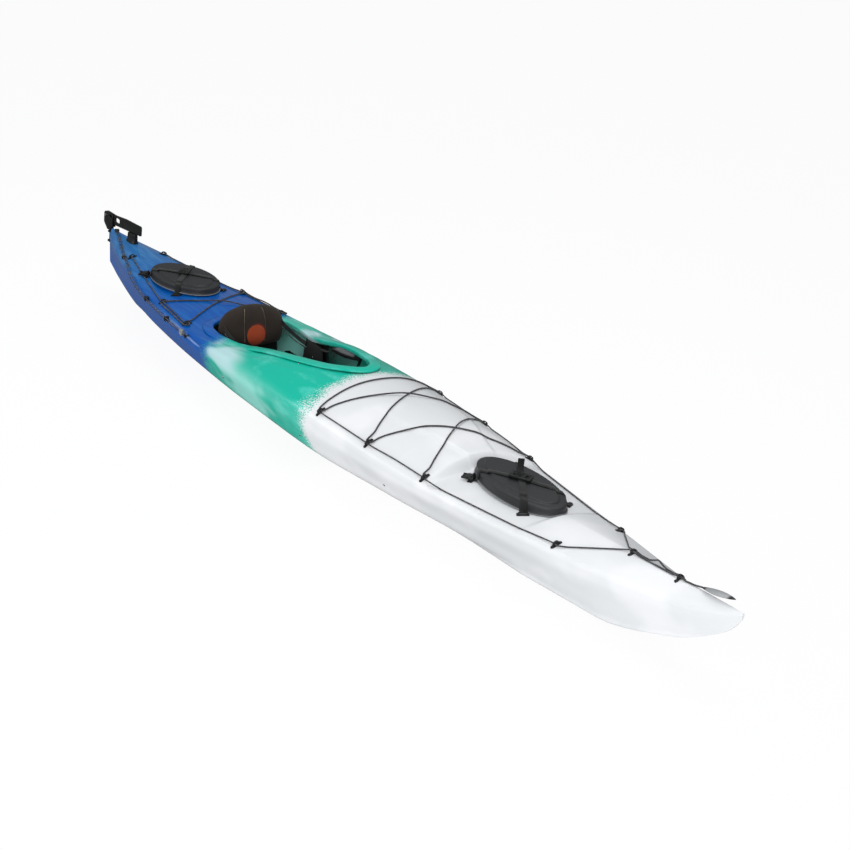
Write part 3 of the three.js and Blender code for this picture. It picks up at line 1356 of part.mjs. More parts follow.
function hipStrap(side) {
  const startX = (cheekAftX + cheekForeX) / 2 + hipPadHalf + seatGap * 2;
  const endX = braceAftX - seatGap * 3;
  const endZ = ceilingHeight(braceAftX, side * strapInset) - braceDrop - braceThickness / 2;
  const startZ = cheekTop(cheekForeX) - hipStrapDrop;
  const route = [0, 0.25, 0.5, 0.75, 1].map((t) => point(
    share(startX, endX, t), side * strapInset, share(startZ, endZ, t) - hipStrapSag * Math.sin(Math.PI * t),
  ));
  const strap = strapAlong(route, hipStrapWidth, strapThickness, point(0, 1, 0));
  addPiece(`hip_strap_${side > 0 ? 'port' : 'starboard'}`, strap, webbingColour);
}

// Foot braces: a rail on each side, a pedal that slides on it, and a toe plate that steers the rudder
const railLead = 72;
const railAftX = cockpitAftX + cockpitLength + railLead;
const railLength = 465;
const railForeX = railAftX + railLength;
const railShare = 0.329;
const railZ = railShare * deckHeight;
const railDepth = 13;
const railHeight = 22;
const pedalInset = 225;
const pedalX = railAftX + pedalInset;
const pedalLength = 64;
const pedalLip = 7;
const pedalWall = 3.6;
const slideGap = 0.4;
const treadWidth = 58;
const treadHalf = 36;
const treadThickness = 6;
const treadSink = 1;
const toeHeight = 58;
const toeBarrel = 5;
const toePin = 2;
const knuckle = 10;
const knuckleInset = 4;
const knuckleSink = 2;

// Place and heading of a rail: its outboard face meets the hull's side at both ends
function railFrame(side) {
  const reach = (x) => insideBreadth(x, railZ - railHeight / 2) - slideGap;
  const [aft, fore] = [reach(railAftX), reach(railForeX)];
  const heading = Math.atan2(fore - aft, railForeX - railAftX);
  const t = (pedalX - railAftX) / (railForeX - railAftX);
  const group = { position: point(pedalX, side * share(aft, fore, t), railZ), rotation: [0, 0, side * heading] };
  return { group, heading };
}

function footBrace(side) {
  const tag = side > 0 ? 'port' : 'starboard';
  const { group, heading } = railFrame(side);
  const solid = (geometry) => geometryOf(solidOf(inboardFaces(geometry, side)));
  const along = 1 / Math.cos(heading);
  const [back, front] = [(railAftX - pedalX) * along, (railForeX - pedalX) * along];
  const rail = new THREE.BoxGeometry(front - back, railDepth, railHeight)
    .translate((front + back) / 2, railDepth / 2, 0);
  addPiece(`foot_rail_${tag}`, solid(rail), greyPlasticColour, group);

  const inner = railDepth + slideGap;
  const half = railHeight / 2 + slideGap;
  const section = [[railDepth - pedalLip, -half - pedalWall], [inner + pedalWall, -half - pedalWall],
    [inner + pedalWall, half + pedalWall],
    [railDepth - pedalLip, half + pedalWall], [railDepth - pedalLip, half],
    [inner, half], [inner, -half], [railDepth - pedalLip, -half]];
  const carriage = standAcross(plate(section, pedalLength));
  const treadFrom = inner + pedalWall - treadSink;
  const tread = new THREE.BoxGeometry(treadThickness, treadWidth, 2 * treadHalf)
    .translate(0, treadFrom + treadWidth / 2, 0);
  const axisZ = treadHalf + toeBarrel + slideGap;
  const acrossBar = (from, to, radius) => barAlong(
    point(0, treadFrom + from, axisZ), point(0, treadFrom + to, axisZ), radius,
  );
  const [nearTo, farFrom] = [knuckleInset + knuckle, treadWidth - knuckle];
  const webHeight = toeBarrel + slideGap + knuckleSink;
  const ears = [[knuckleInset, nearTo], [farFrom, treadWidth]].flatMap(([from, to]) => [
    acrossBar(from, to, toeBarrel),
    new THREE.BoxGeometry(treadThickness, to - from, webHeight)
      .translate(0, treadFrom + (from + to) / 2, axisZ - webHeight / 2),
  ]);
  const pin = acrossBar(nearTo - knuckle / 2, farFrom + knuckle / 2, toePin);
  addPiece(`foot_pedal_${tag}`, solid(join(carriage, tread, ...ears, pin)), plasticColour, group);

  const [toeFrom, toeTo] = [nearTo + slideGap, farFrom - slideGap];
  const barrel = acrossBar(toeFrom, toeTo, toeBarrel);
  const flap = new THREE.BoxGeometry(treadThickness - treadSink, toeTo - toeFrom, toeHeight)
    .translate(0, treadFrom + (toeFrom + toeTo) / 2, axisZ + toeHeight / 2 + treadSink);
  const toe = cut(join(barrel, flap), acrossBar(toeFrom - knuckle / 2, toeTo + knuckle / 2, toePin + slideGap));
  addPiece(`toe_plate_${tag}`, solid(toe), plasticColour, group);
}

// Draws a port piece as the mirror image of the starboard one, with its faces turned to suit
function inboardFaces(geometry, side) {
  if (side < 0) return geometry;
  const flipped = geometry.index ? geometry.clone() : mergeVertices(geometry);
  flipped.scale(1, -1, 1);
  const index = Array.from(flipped.index.array);
  for (let i = 0; i < index.length; i += 3) [index[i], index[i + 1]] = [index[i + 1], index[i]];
  flipped.setIndex(index);
  return flipped;
}

buildShells();
bulkhead('bulkhead_fore', atShare(bulkheadForeShare));
bulkhead('bulkhead_aft', atShare(bulkheadAftShare));
hatchSet('bow', bowHatch);
hatchSet('stern', sternHatch);
foreEyes.forEach((eye, i) => {
  deckEye(`foredeck_eye_port_${i + 1}`, eye);
  deckEye(`foredeck_eye_starboard_${i + 1}`, mirrorEye(eye));
});
aftEyes.forEach((eye, i) => {
  deckEye(`aft_deck_eye_port_${i + 1}`, eye);
  deckEye(`aft_deck_eye_starboard_${i + 1}`, mirrorEye(eye));
});
deckEye('bow_join_eye', joinEye);
deckEye('bow_handle_eye', handleEye);
foredeckBungee();
foredeckLine('foredeck_line_port', 1);
foredeckLine('foredeck_line_starboard', -1);
aftBungee();
aftLine('aft_deck_line_port', 1);
aftLine('aft_deck_line_starboard', -1);
bowCords();
bowHandle();
rudderBracket();
rudderYoke();
rudderBlade();
rudderRest();
addPiece('rudder_lift_line', liftLineTube(liftDiameter), cordColour);
liftToggle();
seatPan();
seatCushion();
seatBack();
for (const side of [1, -1]) {
  hipPad(side);
  thighBrace(side);
  hipStrap(side);
  footBrace(side);
}

// The origin is under the middle of the whole length, rudder included
boat.position.x = -(yokeAft + halfLength) / 2;

export default boat;
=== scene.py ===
import math
import bmesh
import bpy
import numpy as np
from mathutils import Matrix, Vector
from mathutils.bvhtree import BVHTree


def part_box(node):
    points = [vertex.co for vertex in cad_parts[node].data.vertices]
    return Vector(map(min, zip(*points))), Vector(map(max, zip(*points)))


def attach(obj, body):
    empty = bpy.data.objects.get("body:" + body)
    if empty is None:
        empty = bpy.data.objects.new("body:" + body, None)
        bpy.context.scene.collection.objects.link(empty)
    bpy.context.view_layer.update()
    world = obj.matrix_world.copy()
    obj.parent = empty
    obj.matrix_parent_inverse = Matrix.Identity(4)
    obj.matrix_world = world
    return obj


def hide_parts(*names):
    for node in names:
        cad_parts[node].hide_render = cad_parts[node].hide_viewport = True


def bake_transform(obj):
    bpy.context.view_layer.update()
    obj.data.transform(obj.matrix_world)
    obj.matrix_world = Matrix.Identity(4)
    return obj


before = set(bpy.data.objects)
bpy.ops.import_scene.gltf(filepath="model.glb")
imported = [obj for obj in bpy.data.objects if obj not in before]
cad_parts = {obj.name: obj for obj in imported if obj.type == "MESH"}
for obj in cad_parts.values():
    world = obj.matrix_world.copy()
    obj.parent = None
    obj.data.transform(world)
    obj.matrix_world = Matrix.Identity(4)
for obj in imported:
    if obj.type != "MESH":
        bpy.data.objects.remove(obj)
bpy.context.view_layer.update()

# Touring kayak: what CAD packed is the frame, and this script gives it its looks. Metres, +X to the bow, +Y to port.

# Small helpers


def toLinear(hexText):
    channels = [int(hexText[i:i + 2], 16) / 255 for i in (1, 3, 5)]
    return tuple(c / 12.92 if c <= 0.04045 else ((c + 0.055) / 1.055) ** 2.4 for c in channels) + (1.0,)


def deselectAll():
    if bpy.context.object and bpy.context.object.mode != "OBJECT":
        bpy.ops.object.mode_set(mode="OBJECT")
    bpy.ops.object.select_all(action="DESELECT")


def makeActive(piece):
    deselectAll()
    piece.select_set(True)
    bpy.context.view_layer.objects.active = piece


def applyModifiers(piece):
    makeActive(piece)
    for modifier in list(piece.modifiers):
        bpy.ops.object.modifier_apply(modifier=modifier.name)


def addModifier(piece, kind, **settings):
    modifier = piece.modifiers.new(kind.lower(), kind)
    for key, value in settings.items():
        setattr(modifier, key, value)
    return modifier


def smoothBy(piece, degrees=35):
    makeActive(piece)
    bpy.ops.object.shade_smooth_by_angle(angle=math.radians(degrees))
    return piece


def bakePlace(piece):
    # the piece's place goes into its mesh, and its object back to the origin
    makeActive(piece)
    bpy.ops.object.transform_apply(location=True, rotation=True, scale=True)


def turnFacesOut(piece):
    makeActive(piece)
    bpy.ops.object.mode_set(mode="EDIT")
    bpy.ops.mesh.select_all(action="SELECT")
    bpy.ops.mesh.remove_doubles(threshold=1e-6)
    bpy.ops.mesh.normals_make_consistent(inside=False)
    bpy.ops.object.mode_set(mode="OBJECT")


def meshPiece(name, points, faces):
    data = bpy.data.meshes.new(name)
    data.from_pydata([tuple(p) for p in points], [], faces)
    data.update()
    piece = bpy.data.objects.new(name, data)
    bpy.context.scene.collection.objects.link(piece)
    turnFacesOut(piece)
    return piece


def loftRings(name, rings, closed=False, caps=True):
    # skins rings that have the same number of points
    count = len(rings[0])
    points = [p for ring in rings for p in ring]
    faces = []
    spans = len(rings) if closed else len(rings) - 1
    for i in range(spans):
        here, there = i * count, ((i + 1) % len(rings)) * count
        for k in range(count):
            n = (k + 1) % count
            faces.append((here + k, here + n, there + n, there + k))
    if not closed and caps:
        faces.append(tuple(range(count)))
        faces.append(tuple(range((len(rings) - 1) * count, len(rings) * count)))
    return meshPiece(name, points, faces)


def joinPieces(name, parts):
    deselectAll()
    for part in parts:
        part.select_set(True)
    bpy.context.view_layer.objects.active = parts[0]
    if len(parts) > 1:
        bpy.ops.object.join()
    parts[0].name = name
    parts[0].data.name = name
    return parts[0]


def copyOf(piece, name):
    twin = piece.copy()
    twin.data = piece.data.copy()
    twin.name = name
    bpy.context.scene.collection.objects.link(twin)
    return twin


def cutAway(piece, tools):
    # the piece's modifiers are applied first, and then the tools' shapes are taken out of it
    for tool in tools:
        addModifier(piece, "BOOLEAN", object=tool, operation="DIFFERENCE", solver="EXACT")
    applyModifiers(piece)
    for tool in tools:
        bpy.data.objects.remove(tool)


def roundBlock(name, size, centre=(0, 0, 0), bevel=0.001, segments=3):
    deselectAll()
    bpy.ops.mesh.primitive_cube_add(size=1, location=centre)
    piece = bpy.context.object
    piece.name = name
    piece.scale = size
    bakePlace(piece)
    addModifier(piece, "BEVEL", width=bevel, segments=segments, limit_method="ANGLE")
    applyModifiers(piece)
    return piece


def roundBar(name, start, end, radius, bevel=0.0006, vertices=32):
    start, end = Vector(start), Vector(end)
    deselectAll()
    bpy.ops.mesh.primitive_cylinder_add(vertices=vertices, radius=radius, depth=(end - start).length)
    piece = bpy.context.object
    piece.name = name
    turn = Vector((0, 0, 1)).rotation_difference((end - start).normalized()).to_matrix().to_4x4()
    piece.data.transform(Matrix.Translation((start + end) / 2) @ turn)
    addModifier(piece, "BEVEL", width=bevel, segments=3, limit_method="ANGLE")
    applyModifiers(piece)
    return piece


def flatShape(name, outlines, depth, bevel=0.0008):
    # outlines in the XY plane, the first one outside and the rest holes, given a thickness and rounded edges
    curve = bpy.data.curves.new(name, "CURVE")
    curve.dimensions = "2D"
    curve.fill_mode = "BOTH"
    curve.extrude = depth / 2 - bevel
    curve.bevel_depth = bevel
    curve.bevel_resolution = 2
    curve.offset = -bevel
    for outline in outlines:
        spline = curve.splines.new("POLY")
        spline.points.add(len(outline) - 1)
        for spot, (u, v) in zip(spline.points, outline):
            spot.co = (u, v, 0, 1)
        spline.use_cyclic_u = True
    piece = bpy.data.objects.new(name, curve)
    bpy.context.scene.collection.objects.link(piece)
    makeActive(piece)
    bpy.ops.object.convert(target="MESH")
    piece = bpy.context.object
    turnFacesOut(piece)
    return piece


def roundOutline(halfU, halfV, radius, steps=6, centre=(0, 0)):
    outline = []
    for i, (u, v) in enumerate([(1, 1), (-1, 1), (-1, -1), (1, -1)]):
        for k in range(steps + 1):
            angle = (i + k / steps) * math.pi / 2
            outline.append((
                centre[0] + u * (halfU - radius) + radius * math.cos(angle),
                centre[1] + v * (halfV - radius) + radius * math.sin(angle),
            ))
    return outline


def turns(count):
    # the angles of even steps once round
    return [2 * math.pi * k / count for k in range(count)]


def between(a, b, start, stop, t):
    return a * ((stop - t) / (stop - start)) + b * ((t - start) / (stop - start))


def catmull(points, step, closed=False):
    # a smooth curve through points, with a sample about every step metres
    spots = [Vector(p) for p in points]
    count = len(spots)
    path = []
    for i in range(count if closed else count - 1):
        p1, p2 = spots[i], spots[(i + 1) % count]
        p0 = spots[i - 1] if closed or i else p1 * 2 - p2
        p3 = spots[(i + 2) % count] if closed or i + 2 < count else p2 * 2 - p1
        knots = [0.0]
        for a, b in ((p0, p1), (p1, p2), (p2, p3)):
            knots.append(knots[-1] + max((b - a).length, 1e-6) ** 0.5)
        k0, k1, k2, k3 = knots
        samples = max(2, int(math.ceil((p2 - p1).length / step)))
        for k in range(samples):
            t = k1 + (k2 - k1) * k / samples
            a1, a2, a3 = between(p0, p1, k0, k1, t), between(p1, p2, k1, k2, t), between(p2, p3, k2, k3, t)
            path.append(between(between(a1, a2, k0, k2, t), between(a2, a3, k1, k3, t), k1, k2, t))
    if not closed:
        path.append(spots[-1])
    return path


def tangentsOf(path):
    last = len(path) - 1
    return [(path[min(i + 1, last)] - path[max(i - 1, 0)]).normalized() for i in range(len(path))]


def tubeAlong(name, path, radius, sides=12):
    # a round tube on a path, with a frame that doesn't twist
    path = [Vector(p) for p in path]
    tangents = tangentsOf(path)
    side = tangents[0].orthogonal().normalized()
    rings = []
    for spot, tangent in zip(path, tangents):
        side = (side - tangent * side.dot(tangent)).normalized()
        up = tangent.cross(side)
        rings.append([spot + radius * (math.cos(a) * side + math.sin(a) * up) for a in turns(sides)])
    return smoothBy(loftRings(name, rings), 50)


def bandAlong(name, path, width, thickness, across):
    # a flat strap on a path, its width along across: one way for all of it, or a way for each point
    path = [Vector(p) for p in path]
    half, edge = width / 2, thickness / 2
    profile = [
        (half - edge, edge), (half, 0), (half - edge, -edge), (-half + edge, -edge), (-half, 0), (-half + edge, edge),
    ]
    rings = []
    for i, (spot, tangent) in enumerate(zip(path, tangentsOf(path))):
        if isinstance(across, list):
            sideways = across[i]
        else:
            sideways = (Vector(across) - tangent * Vector(across).dot(tangent)).normalized()
        out = sideways.cross(tangent).normalized()
        rings.append([spot + sideways * w + out * t for w, t in profile])
    return smoothBy(loftRings(name, rings), 50)


def addNode(tree, kind, inputs=None, **settings):
    node = tree.nodes.new(kind)
    for key, value in settings.items():
        setattr(node, key, value)
    for key, value in (inputs or {}).items():
        if isinstance(value, bpy.types.NodeSocket):
            tree.links.new(value, node.inputs[key])
        else:
            node.inputs[key].default_value = value
    return node


def fillRamp(node, stops):
    ramp = node.color_ramp
    while len(ramp.elements) > 1:
        ramp.elements.remove(ramp.elements[-1])
    ramp.elements[0].position, ramp.elements[0].color = stops[0]
    for position, colour in stops[1:]:
        ramp.elements.new(position).color = colour
    return node


def newMaterial(name, roughness=0.5, metallic=0.0, ior=None, sheen=0.0):
    material = bpy.data.materials.new(name)
    material.use_nodes = True
    shader = material.node_tree.nodes["Principled BSDF"]
    shader.inputs["Roughness"].default_value = roughness
    shader.inputs["Metallic"].default_value = metallic
    if ior:
        shader.inputs["IOR"].default_value = ior
    if sheen:
        shader.inputs["Sheen Weight"].default_value = sheen
    return material, material.node_tree, shader


def perMetre(millimetres):
    return 1000.0 / millimetres  # a noise scale from the size of its cells


def bumpFrom(tree, shader, height, distance, strength=1.0):
    bump = addNode(tree, "ShaderNodeBump", {"Height": height, "Distance": distance, "Strength": strength})
    tree.links.new(bump.outputs["Normal"], shader.inputs["Normal"])


def dress(piece, material):
    piece.data.materials.clear()
    piece.data.materials.append(material)


def settle(piece, body, slotName, material, *nodes):
    # a finished piece: its material, the body it rides on, and the CAD nodes it stands for; its slot is not used
    dress(piece, material)
    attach(piece, body)
    if nodes:
        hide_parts(*nodes)


# Camera, light and floor

view = {
    "azimuth": -36.97, "elevation": 21.291, "roll": 6.232, "distance": 6.997, "lens": 80.70, "sensor": 36,
    "target": (0.4875, 0, 0.281), "farthest": 100,
}
lamps = {
    "above": {"place": (0.6, 0.3, 4.2), "aim": (0.3, 0, 0.2), "size": (5.0, 3.0), "power": 84},
    "front": {"place": (4.4, -3.4, 2.3), "aim": (0.9, 0, 0.2), "size": (3.5, 2.5), "power": 112},
    "left": {"place": (-2.4, -3.4, 2.0), "aim": (-0.2, 0, 0.2), "size": (3.0, 2.0), "power": 40},
}
sky = {"colour": "#f4f6f8", "strength": 0.57, "mirrored": 0.26, "behind": 1.0}
vinyl = {"size": 60, "z": -0.001, "colour": "#f2f3f4", "roughness": 0.9}
# what each kind of ray sees instead of the vinyl: its share, and how bright that is
floorGlow = [("Is Camera Ray", 0.93, 1.0), ("Is Diffuse Ray", 0.45, 1.5), ("Is Glossy Ray", 0.9, 0.10)]


def placeCamera():
    azimuth, elevation, roll = (math.radians(view[k]) for k in ("azimuth", "elevation", "roll"))
    flat = math.cos(elevation)
    back = Vector((math.cos(azimuth) * flat, math.sin(azimuth) * flat, math.sin(elevation)))
    right = Vector((0, 0, 1)).cross(back).normalized()
    up = back.cross(right)
    turnedRight = right * math.cos(roll) + up * math.sin(roll)
    turnedUp = up * math.cos(roll) - right * math.sin(roll)
    data = bpy.data.cameras.new("photoCamera")
    data.sensor_width = view["sensor"]
    data.lens = view["lens"]
    data.clip_end = view["farthest"]
    camera = bpy.data.objects.new("photoCamera", data)
    bpy.context.scene.collection.objects.link(camera)
    matrix = Matrix((turnedRight, turnedUp, back)).transposed().to_4x4()
    matrix.translation = Vector(view["target"]) + back * view["distance"]
    camera.matrix_world = matrix
    bpy.context.scene.camera = camera


def lightTheRoom():
    scene = bpy.context.scene
    for name, lamp in lamps.items():
        data = bpy.data.lights.new(name, "AREA")
        data.shape = "RECTANGLE"
        data.size, data.size_y = lamp["size"]
        data.energy = lamp["power"]
        piece = bpy.data.objects.new(name, data)
        scene.collection.objects.link(piece)
        away = (Vector(lamp["place"]) - Vector(lamp["aim"])).normalized()
        piece.matrix_world = Matrix.Translation(lamp["place"]) @ away.to_track_quat("Z", "Y").to_matrix().to_4x4()
    world = scene.world or bpy.data.worlds.new("studio")
    scene.world = world
    world.use_nodes = True
    tree = world.node_tree
    tree.nodes.clear()
    path = addNode(tree, "ShaderNodeLightPath")
    rays = {0: path.outputs["Is Camera Ray"], 1: path.outputs["Is Transmission Ray"]}
    through = addNode(tree, "ShaderNodeMath", rays, operation="MAXIMUM")
    dim = addNode(tree, "ShaderNodeMapRange", {
        "Value": path.outputs["Is Glossy Ray"], "To Min": sky["strength"], "To Max": sky["mirrored"],
    })
    ambient = addNode(tree, "ShaderNodeBackground", {"Color": toLinear(sky["colour"]), "Strength": dim.outputs[0]})
    white = addNode(tree, "ShaderNodeBackground", {"Color": (1, 1, 1, 1), "Strength": sky["behind"]})
    mix = addNode(tree, "ShaderNodeMixShader", {0: through.outputs[0], 1: ambient.outputs[0], 2: white.outputs[0]})
    addNode(tree, "ShaderNodeOutputWorld", {"Surface": mix.outputs[0]})
    scene.view_settings.view_transform = "Standard"


def layFloor():
    deselectAll()
    bpy.ops.mesh.primitive_plane_add(size=vinyl["size"], location=(0, 0, vinyl["z"]))
    floor = bpy.context.object
    floor.name = "studioFloor"
    bakePlace(floor)
    material, tree, shader = newMaterial("matt white studio vinyl", roughness=vinyl["roughness"])
    shader.inputs["Base Color"].default_value = toLinear(vinyl["colour"])
    shader.inputs["Specular IOR Level"].default_value = 0.0
    path = addNode(tree, "ShaderNodeLightPath")
    surface = shader.outputs[0]
    for ray, share, strength in floorGlow:
        amount = addNode(tree, "ShaderNodeMath", {0: path.outputs[ray], 1: share}, operation="MULTIPLY")
        glow = addNode(tree, "ShaderNodeEmission", {"Color": (1, 1, 1, 1), "Strength": strength})
        mix = addNode(tree, "ShaderNodeMixShader", {0: amount.outputs[0], 1: surface, 2: glow.outputs[0]})
        surface = mix.outputs[0]
    tree.links.new(surface, tree.nodes["Material Output"].inputs["Surface"])
    dress(floor, material)


placeCamera()
lightTheRoom()
layFloor()
print("stage: camera, lamps and floor")

# Lines of the hull, as in the CAD model

hull = {
    "length": 4.27, "beam": 0.61, "depth": 0.35, "wall": 0.005, "keelFlat": 0.084, "shift": 0.0395,
    "sheerRound": 0.020, "stationStep": 0.014, "middleZ": 0.2,
}
# station, sheer breadth, sheer height, chine breadth, chine height, keel height
linesTable = [
    (-1.0, 0.04, 0.749, 0.022, 0.371, 0.363), (-0.937, 0.197, 0.737, 0.115, 0.309, 0.243),
    (-0.82, 0.426, 0.703, 0.279, 0.234, 0.1), (-0.656, 0.666, 0.646, 0.466, 0.183, 0.017),
    (-0.468, 0.846, 0.634, 0.626, 0.171, 0), (-0.234, 0.957, 0.663, 0.744, 0.16, 0),
    (0, 1, 0.674, 0.777, 0.143, 0), (0.234, 0.954, 0.646, 0.626, 0.154, 0),
    (0.468, 0.777, 0.64, 0.348, 0.149, 0), (0.703, 0.505, 0.671, 0.131, 0.129, 0.023),
    (0.867, 0.259, 0.72, 0.05, 0.343, 0.28), (0.951, 0.108, 0.786, 0.024, 0.571, 0.543),
    (0.984, 0.045, 0.84, 0.014, 0.72, 0.7), (1.0, 0.015, 0.877, 0.007, 0.835, 0.83),
]
# station, ridge height, and how square the deck's section is
crownTable = [
    (-1.0, 0.829, 1.8), (-0.909, 0.811, 1.8), (-0.796, 0.766, 1.9), (-0.66, 0.703, 2.2), (-0.51, 0.717, 2.2),
    (-0.45, 0.686, 2.3), (-0.375, 0.68, 2.4), (-0.234, 0.794, 2.4), (-0.141, 0.929, 2.4), (-0.047, 0.979, 2.3),
    (0.047, 0.989, 2.3), (0.187, 0.989, 2.3), (0.281, 0.966, 2.2), (0.337, 0.909, 2.2), (0.37, 0.874, 2.1),
    (0.386, 0.749, 2.2), (0.482, 0.731, 2.2), (0.581, 0.726, 2.1), (0.597, 0.771, 1.6), (0.68, 0.8, 1.35),
    (0.763, 0.823, 1.25), (0.867, 0.857, 1.3), (0.951, 0.883, 1.5), (1.0, 0.897, 1.8),
]
halfLength, halfBeam = hull["length"] / 2, hull["beam"] / 2
deckSteps = 44


def smoothColumn(rows, column):
    # a curve through one column of a table that never overshoots its rows
    xs = [row[0] for row in rows]
    ys = [row[column] for row in rows]
    slopes = [(ys[i + 1] - ys[i]) / (xs[i + 1] - xs[i]) for i in range(len(xs) - 1)]
    tangents = [slopes[0]]
    for before, after in zip(slopes, slopes[1:]):
        tangents.append(0 if before * after <= 0 else 2 * before * after / (before + after))
    tangents.append(slopes[-1])

    def read(x):
        i = min(len(xs) - 2, max(0, sum(1 for v in xs if v <= x) - 1))
        width = xs[i + 1] - xs[i]
        t = (x - xs[i]) / width
        rise = ys[i] * (1 + 2 * t) * (1 - t) ** 2 + ys[i + 1] * t * t * (3 - 2 * t)
        return rise + width * (tangents[i] * t * (1 - t) ** 2 + tangents[i + 1] * t * t * (t - 1))

    return read


lineReaders = [smoothColumn(linesTable, column) for column in range(1, 6)]
crownReader, squareReader = smoothColumn(crownTable, 1), smoothColumn(crownTable, 2)


def stationOf(x):
    return min(1, max(-1, (x - hull["shift"]) / halfLength))


def atShare(share):
    return share * halfLength + hull["shift"]


def breadthAt(x):
    return lineReaders[0](stationOf(x)) * halfBeam


def sheerHeightAt(x):
    return lineReaders[1](stationOf(x)) * hull["depth"]


def smoothStep(low, high, value):
    t = min(1, max(0, (value - low) / (high - low)))
    return t * t * (3 - 2 * t)


# the plateau ahead of the cockpit, with a soft shoulder on each side down to the hatch recess
plateau = {
    "aft": 0.2, "fore": 0.9, "halfWidth": 0.14, "narrowing": 0.085, "narrows": (0.5, 0.88), "height": 0.0065,
    "rises": (0.25, 0.6), "shoulder": 0.011, "sunk": 0.35,
}
# moulded creases on each half of the deck: points from aft to fore in plan, height and half width
creases = [
    ([(-0.80, 0.185), (-0.751, 0.206), (-0.66, 0.222), (-0.562, 0.227), (-0.46, 0.209), (-0.366, 0.182)],
     0.0032, 0.009),
    ([(-0.76, 0.262), (-0.707, 0.252), (-0.47, 0.235), (-0.236, 0.213), (-0.10, 0.20)], 0.0024, 0.009),
    ([(-1.83, 0.006), (-1.789, 0.019), (-1.706, 0.058), (-1.64, 0.082)], 0.0026, 0.009),
]


def toSegment(x, y, start, end):
    (ax, ay), (bx, by) = start, end
    length = (bx - ax) ** 2 + (by - ay) ** 2
    t = min(1, max(0, ((x - ax) * (bx - ax) + (y - ay) * (by - ay)) / length))
    return math.hypot(x - ax - t * (bx - ax), y - ay - t * (by - ay))


def deckDetail(x, y):
    # moulded details of the deck, in metres above its plain section
    rise = 0.0
    aside = abs(y)
    if plateau["aft"] < x < plateau["fore"]:
        edge = plateau["halfWidth"] - plateau["narrowing"] * smoothStep(*plateau["narrows"], x)
        step = smoothStep(edge + plateau["shoulder"], edge - plateau["shoulder"], aside) - plateau["sunk"]
        rise += plateau["height"] * smoothStep(*plateau["rises"], x) * step
    for line, height, width in creases:
        aft, fore = line[0][0], line[-1][0]
        if aft - 0.03 < x < fore + 0.03:
            gap = min(toSegment(x, aside, a, b) for a, b in zip(line, line[1:]))
            ends = smoothStep(aft - 0.02, aft + 0.05, x) * smoothStep(fore + 0.02, fore - 0.05, x)
            rise += height * ends * math.exp(-((gap / width) ** 2))
    return rise


def deckHeight(x, y):
    # the outside of the deck as it is lofted, before the openings are cut
    station, sheerZ = stationOf(x), sheerHeightAt(x)
    s = min(1, abs(y) / breadthAt(x))
    crown = crownReader(station) * hull["depth"]
    return sheerZ + (crown - sheerZ) * (1 - s ** squareReader(station)) + deckDetail(x, y)


def halfSection(station):
    sheerY, sheerZ, chineY, chineZ, keelZ = (read(station) for read in lineReaders)
    sheer = Vector((sheerY * halfBeam, sheerZ * hull["depth"]))
    chine = Vector((chineY * halfBeam, chineZ * hull["depth"]))
    crown = crownReader(station) * hull["depth"]
    square = squareReader(station)
    keel = Vector((min(hull["keelFlat"] / 2, chine.x * 0.5), keelZ * hull["depth"]))
    under, above = chine.lerp(keel, 0.34), chine.lerp(sheer, 0.34)
    corner = under.lerp(chine, 0.5).lerp(chine.lerp(above, 0.5), 0.5)
    middle = above.lerp(sheer, 0.5) + Vector((0.035 * sheer.x, 0))
    x = atShare(station)

    def deckAt(s):
        return Vector((s * sheer.x, sheer.y + (crown - sheer.y) * (1 - s ** square) + deckDetail(x, s * sheer.x)))

    # the sheer's corner is rounded between a point on the side and one on the deck
    radius = min(hull["sheerRound"], 0.3 * sheer.x)
    sideTop = sheer + (middle - sheer).normalized() * min(radius, 0.4 * (sheer - middle).length)
    deckShare = 1 - radius / max(sheer.x, 1e-4)
    deckEdge = deckAt(deckShare)
    low = catmullPlane([Vector((-keel.x, keel.y)), keel, under, corner, above, middle, sideTop, sheer], 6)
    # from the keel's flat edge to the side's top
    half = [Vector((0, keel.y)), Vector((keel.x * 0.5, keel.y))] + low
    for t in (0.0, 0.2, 0.4, 0.6, 0.8):
        half.append(sideTop * (1 - t) ** 2 + sheer * 2 * t * (1 - t) + deckEdge * t * t)
    for i in range(deckSteps + 1):
        half.append(deckAt(deckShare * (1 - (i / deckSteps))))
    return half


def catmullPlane(points, samples):
    path = []
    for i in range(1, len(points) - 2):
        p0, p1, p2, p3 = points[i - 1], points[i], points[i + 1], points[i + 2]
        for k in range(samples):
            t = k / samples
            path.append(0.5 * (2 * p1 + (p2 - p0) * t + (2 * p0 - 5 * p1 + 4 * p2 - p3) * t * t
                               + (3 * p1 - p0 - 3 * p2 + p3) * t ** 3))
    return path


def skinStations():
    # closer together at both ends, where the hull turns quickest, and at the steps of the hatch's recess
    spans = [
        (-1, 1.0001, hull["stationStep"] / halfLength), (0.955, 1.0001, 0.003), (-1, -0.97, 0.003),
        (0.366, 0.392, 0.0026), (0.578, 0.6, 0.0026),
    ]
    spots = set()
    for start, stop, step in spans:
        spots |= set(np.round(np.arange(start, stop, step), 5))
    return sorted(s for s in spots if -1 <= s <= 1)


def buildSkin():
    rings = []
    for station in skinStations():
        half = halfSection(station)
        x = atShare(station)
        port = [Vector((x, p.x, p.y)) for p in half]
        starboard = [Vector((x, -p.x, p.y)) for p in half[1:-1]]
        rings.append(port + starboard[::-1])
    skin = loftRings("hullSkin", rings)
    print("stage: hull skin,", len(skin.data.vertices), "points")
    return skin


# Cockpit opening and hatch openings

cockpit = {"aft": -0.9055, "length": 0.968, "width": 0.348, "lip": 0.044, "lipThickness": 0.007, "wall": 0.006}
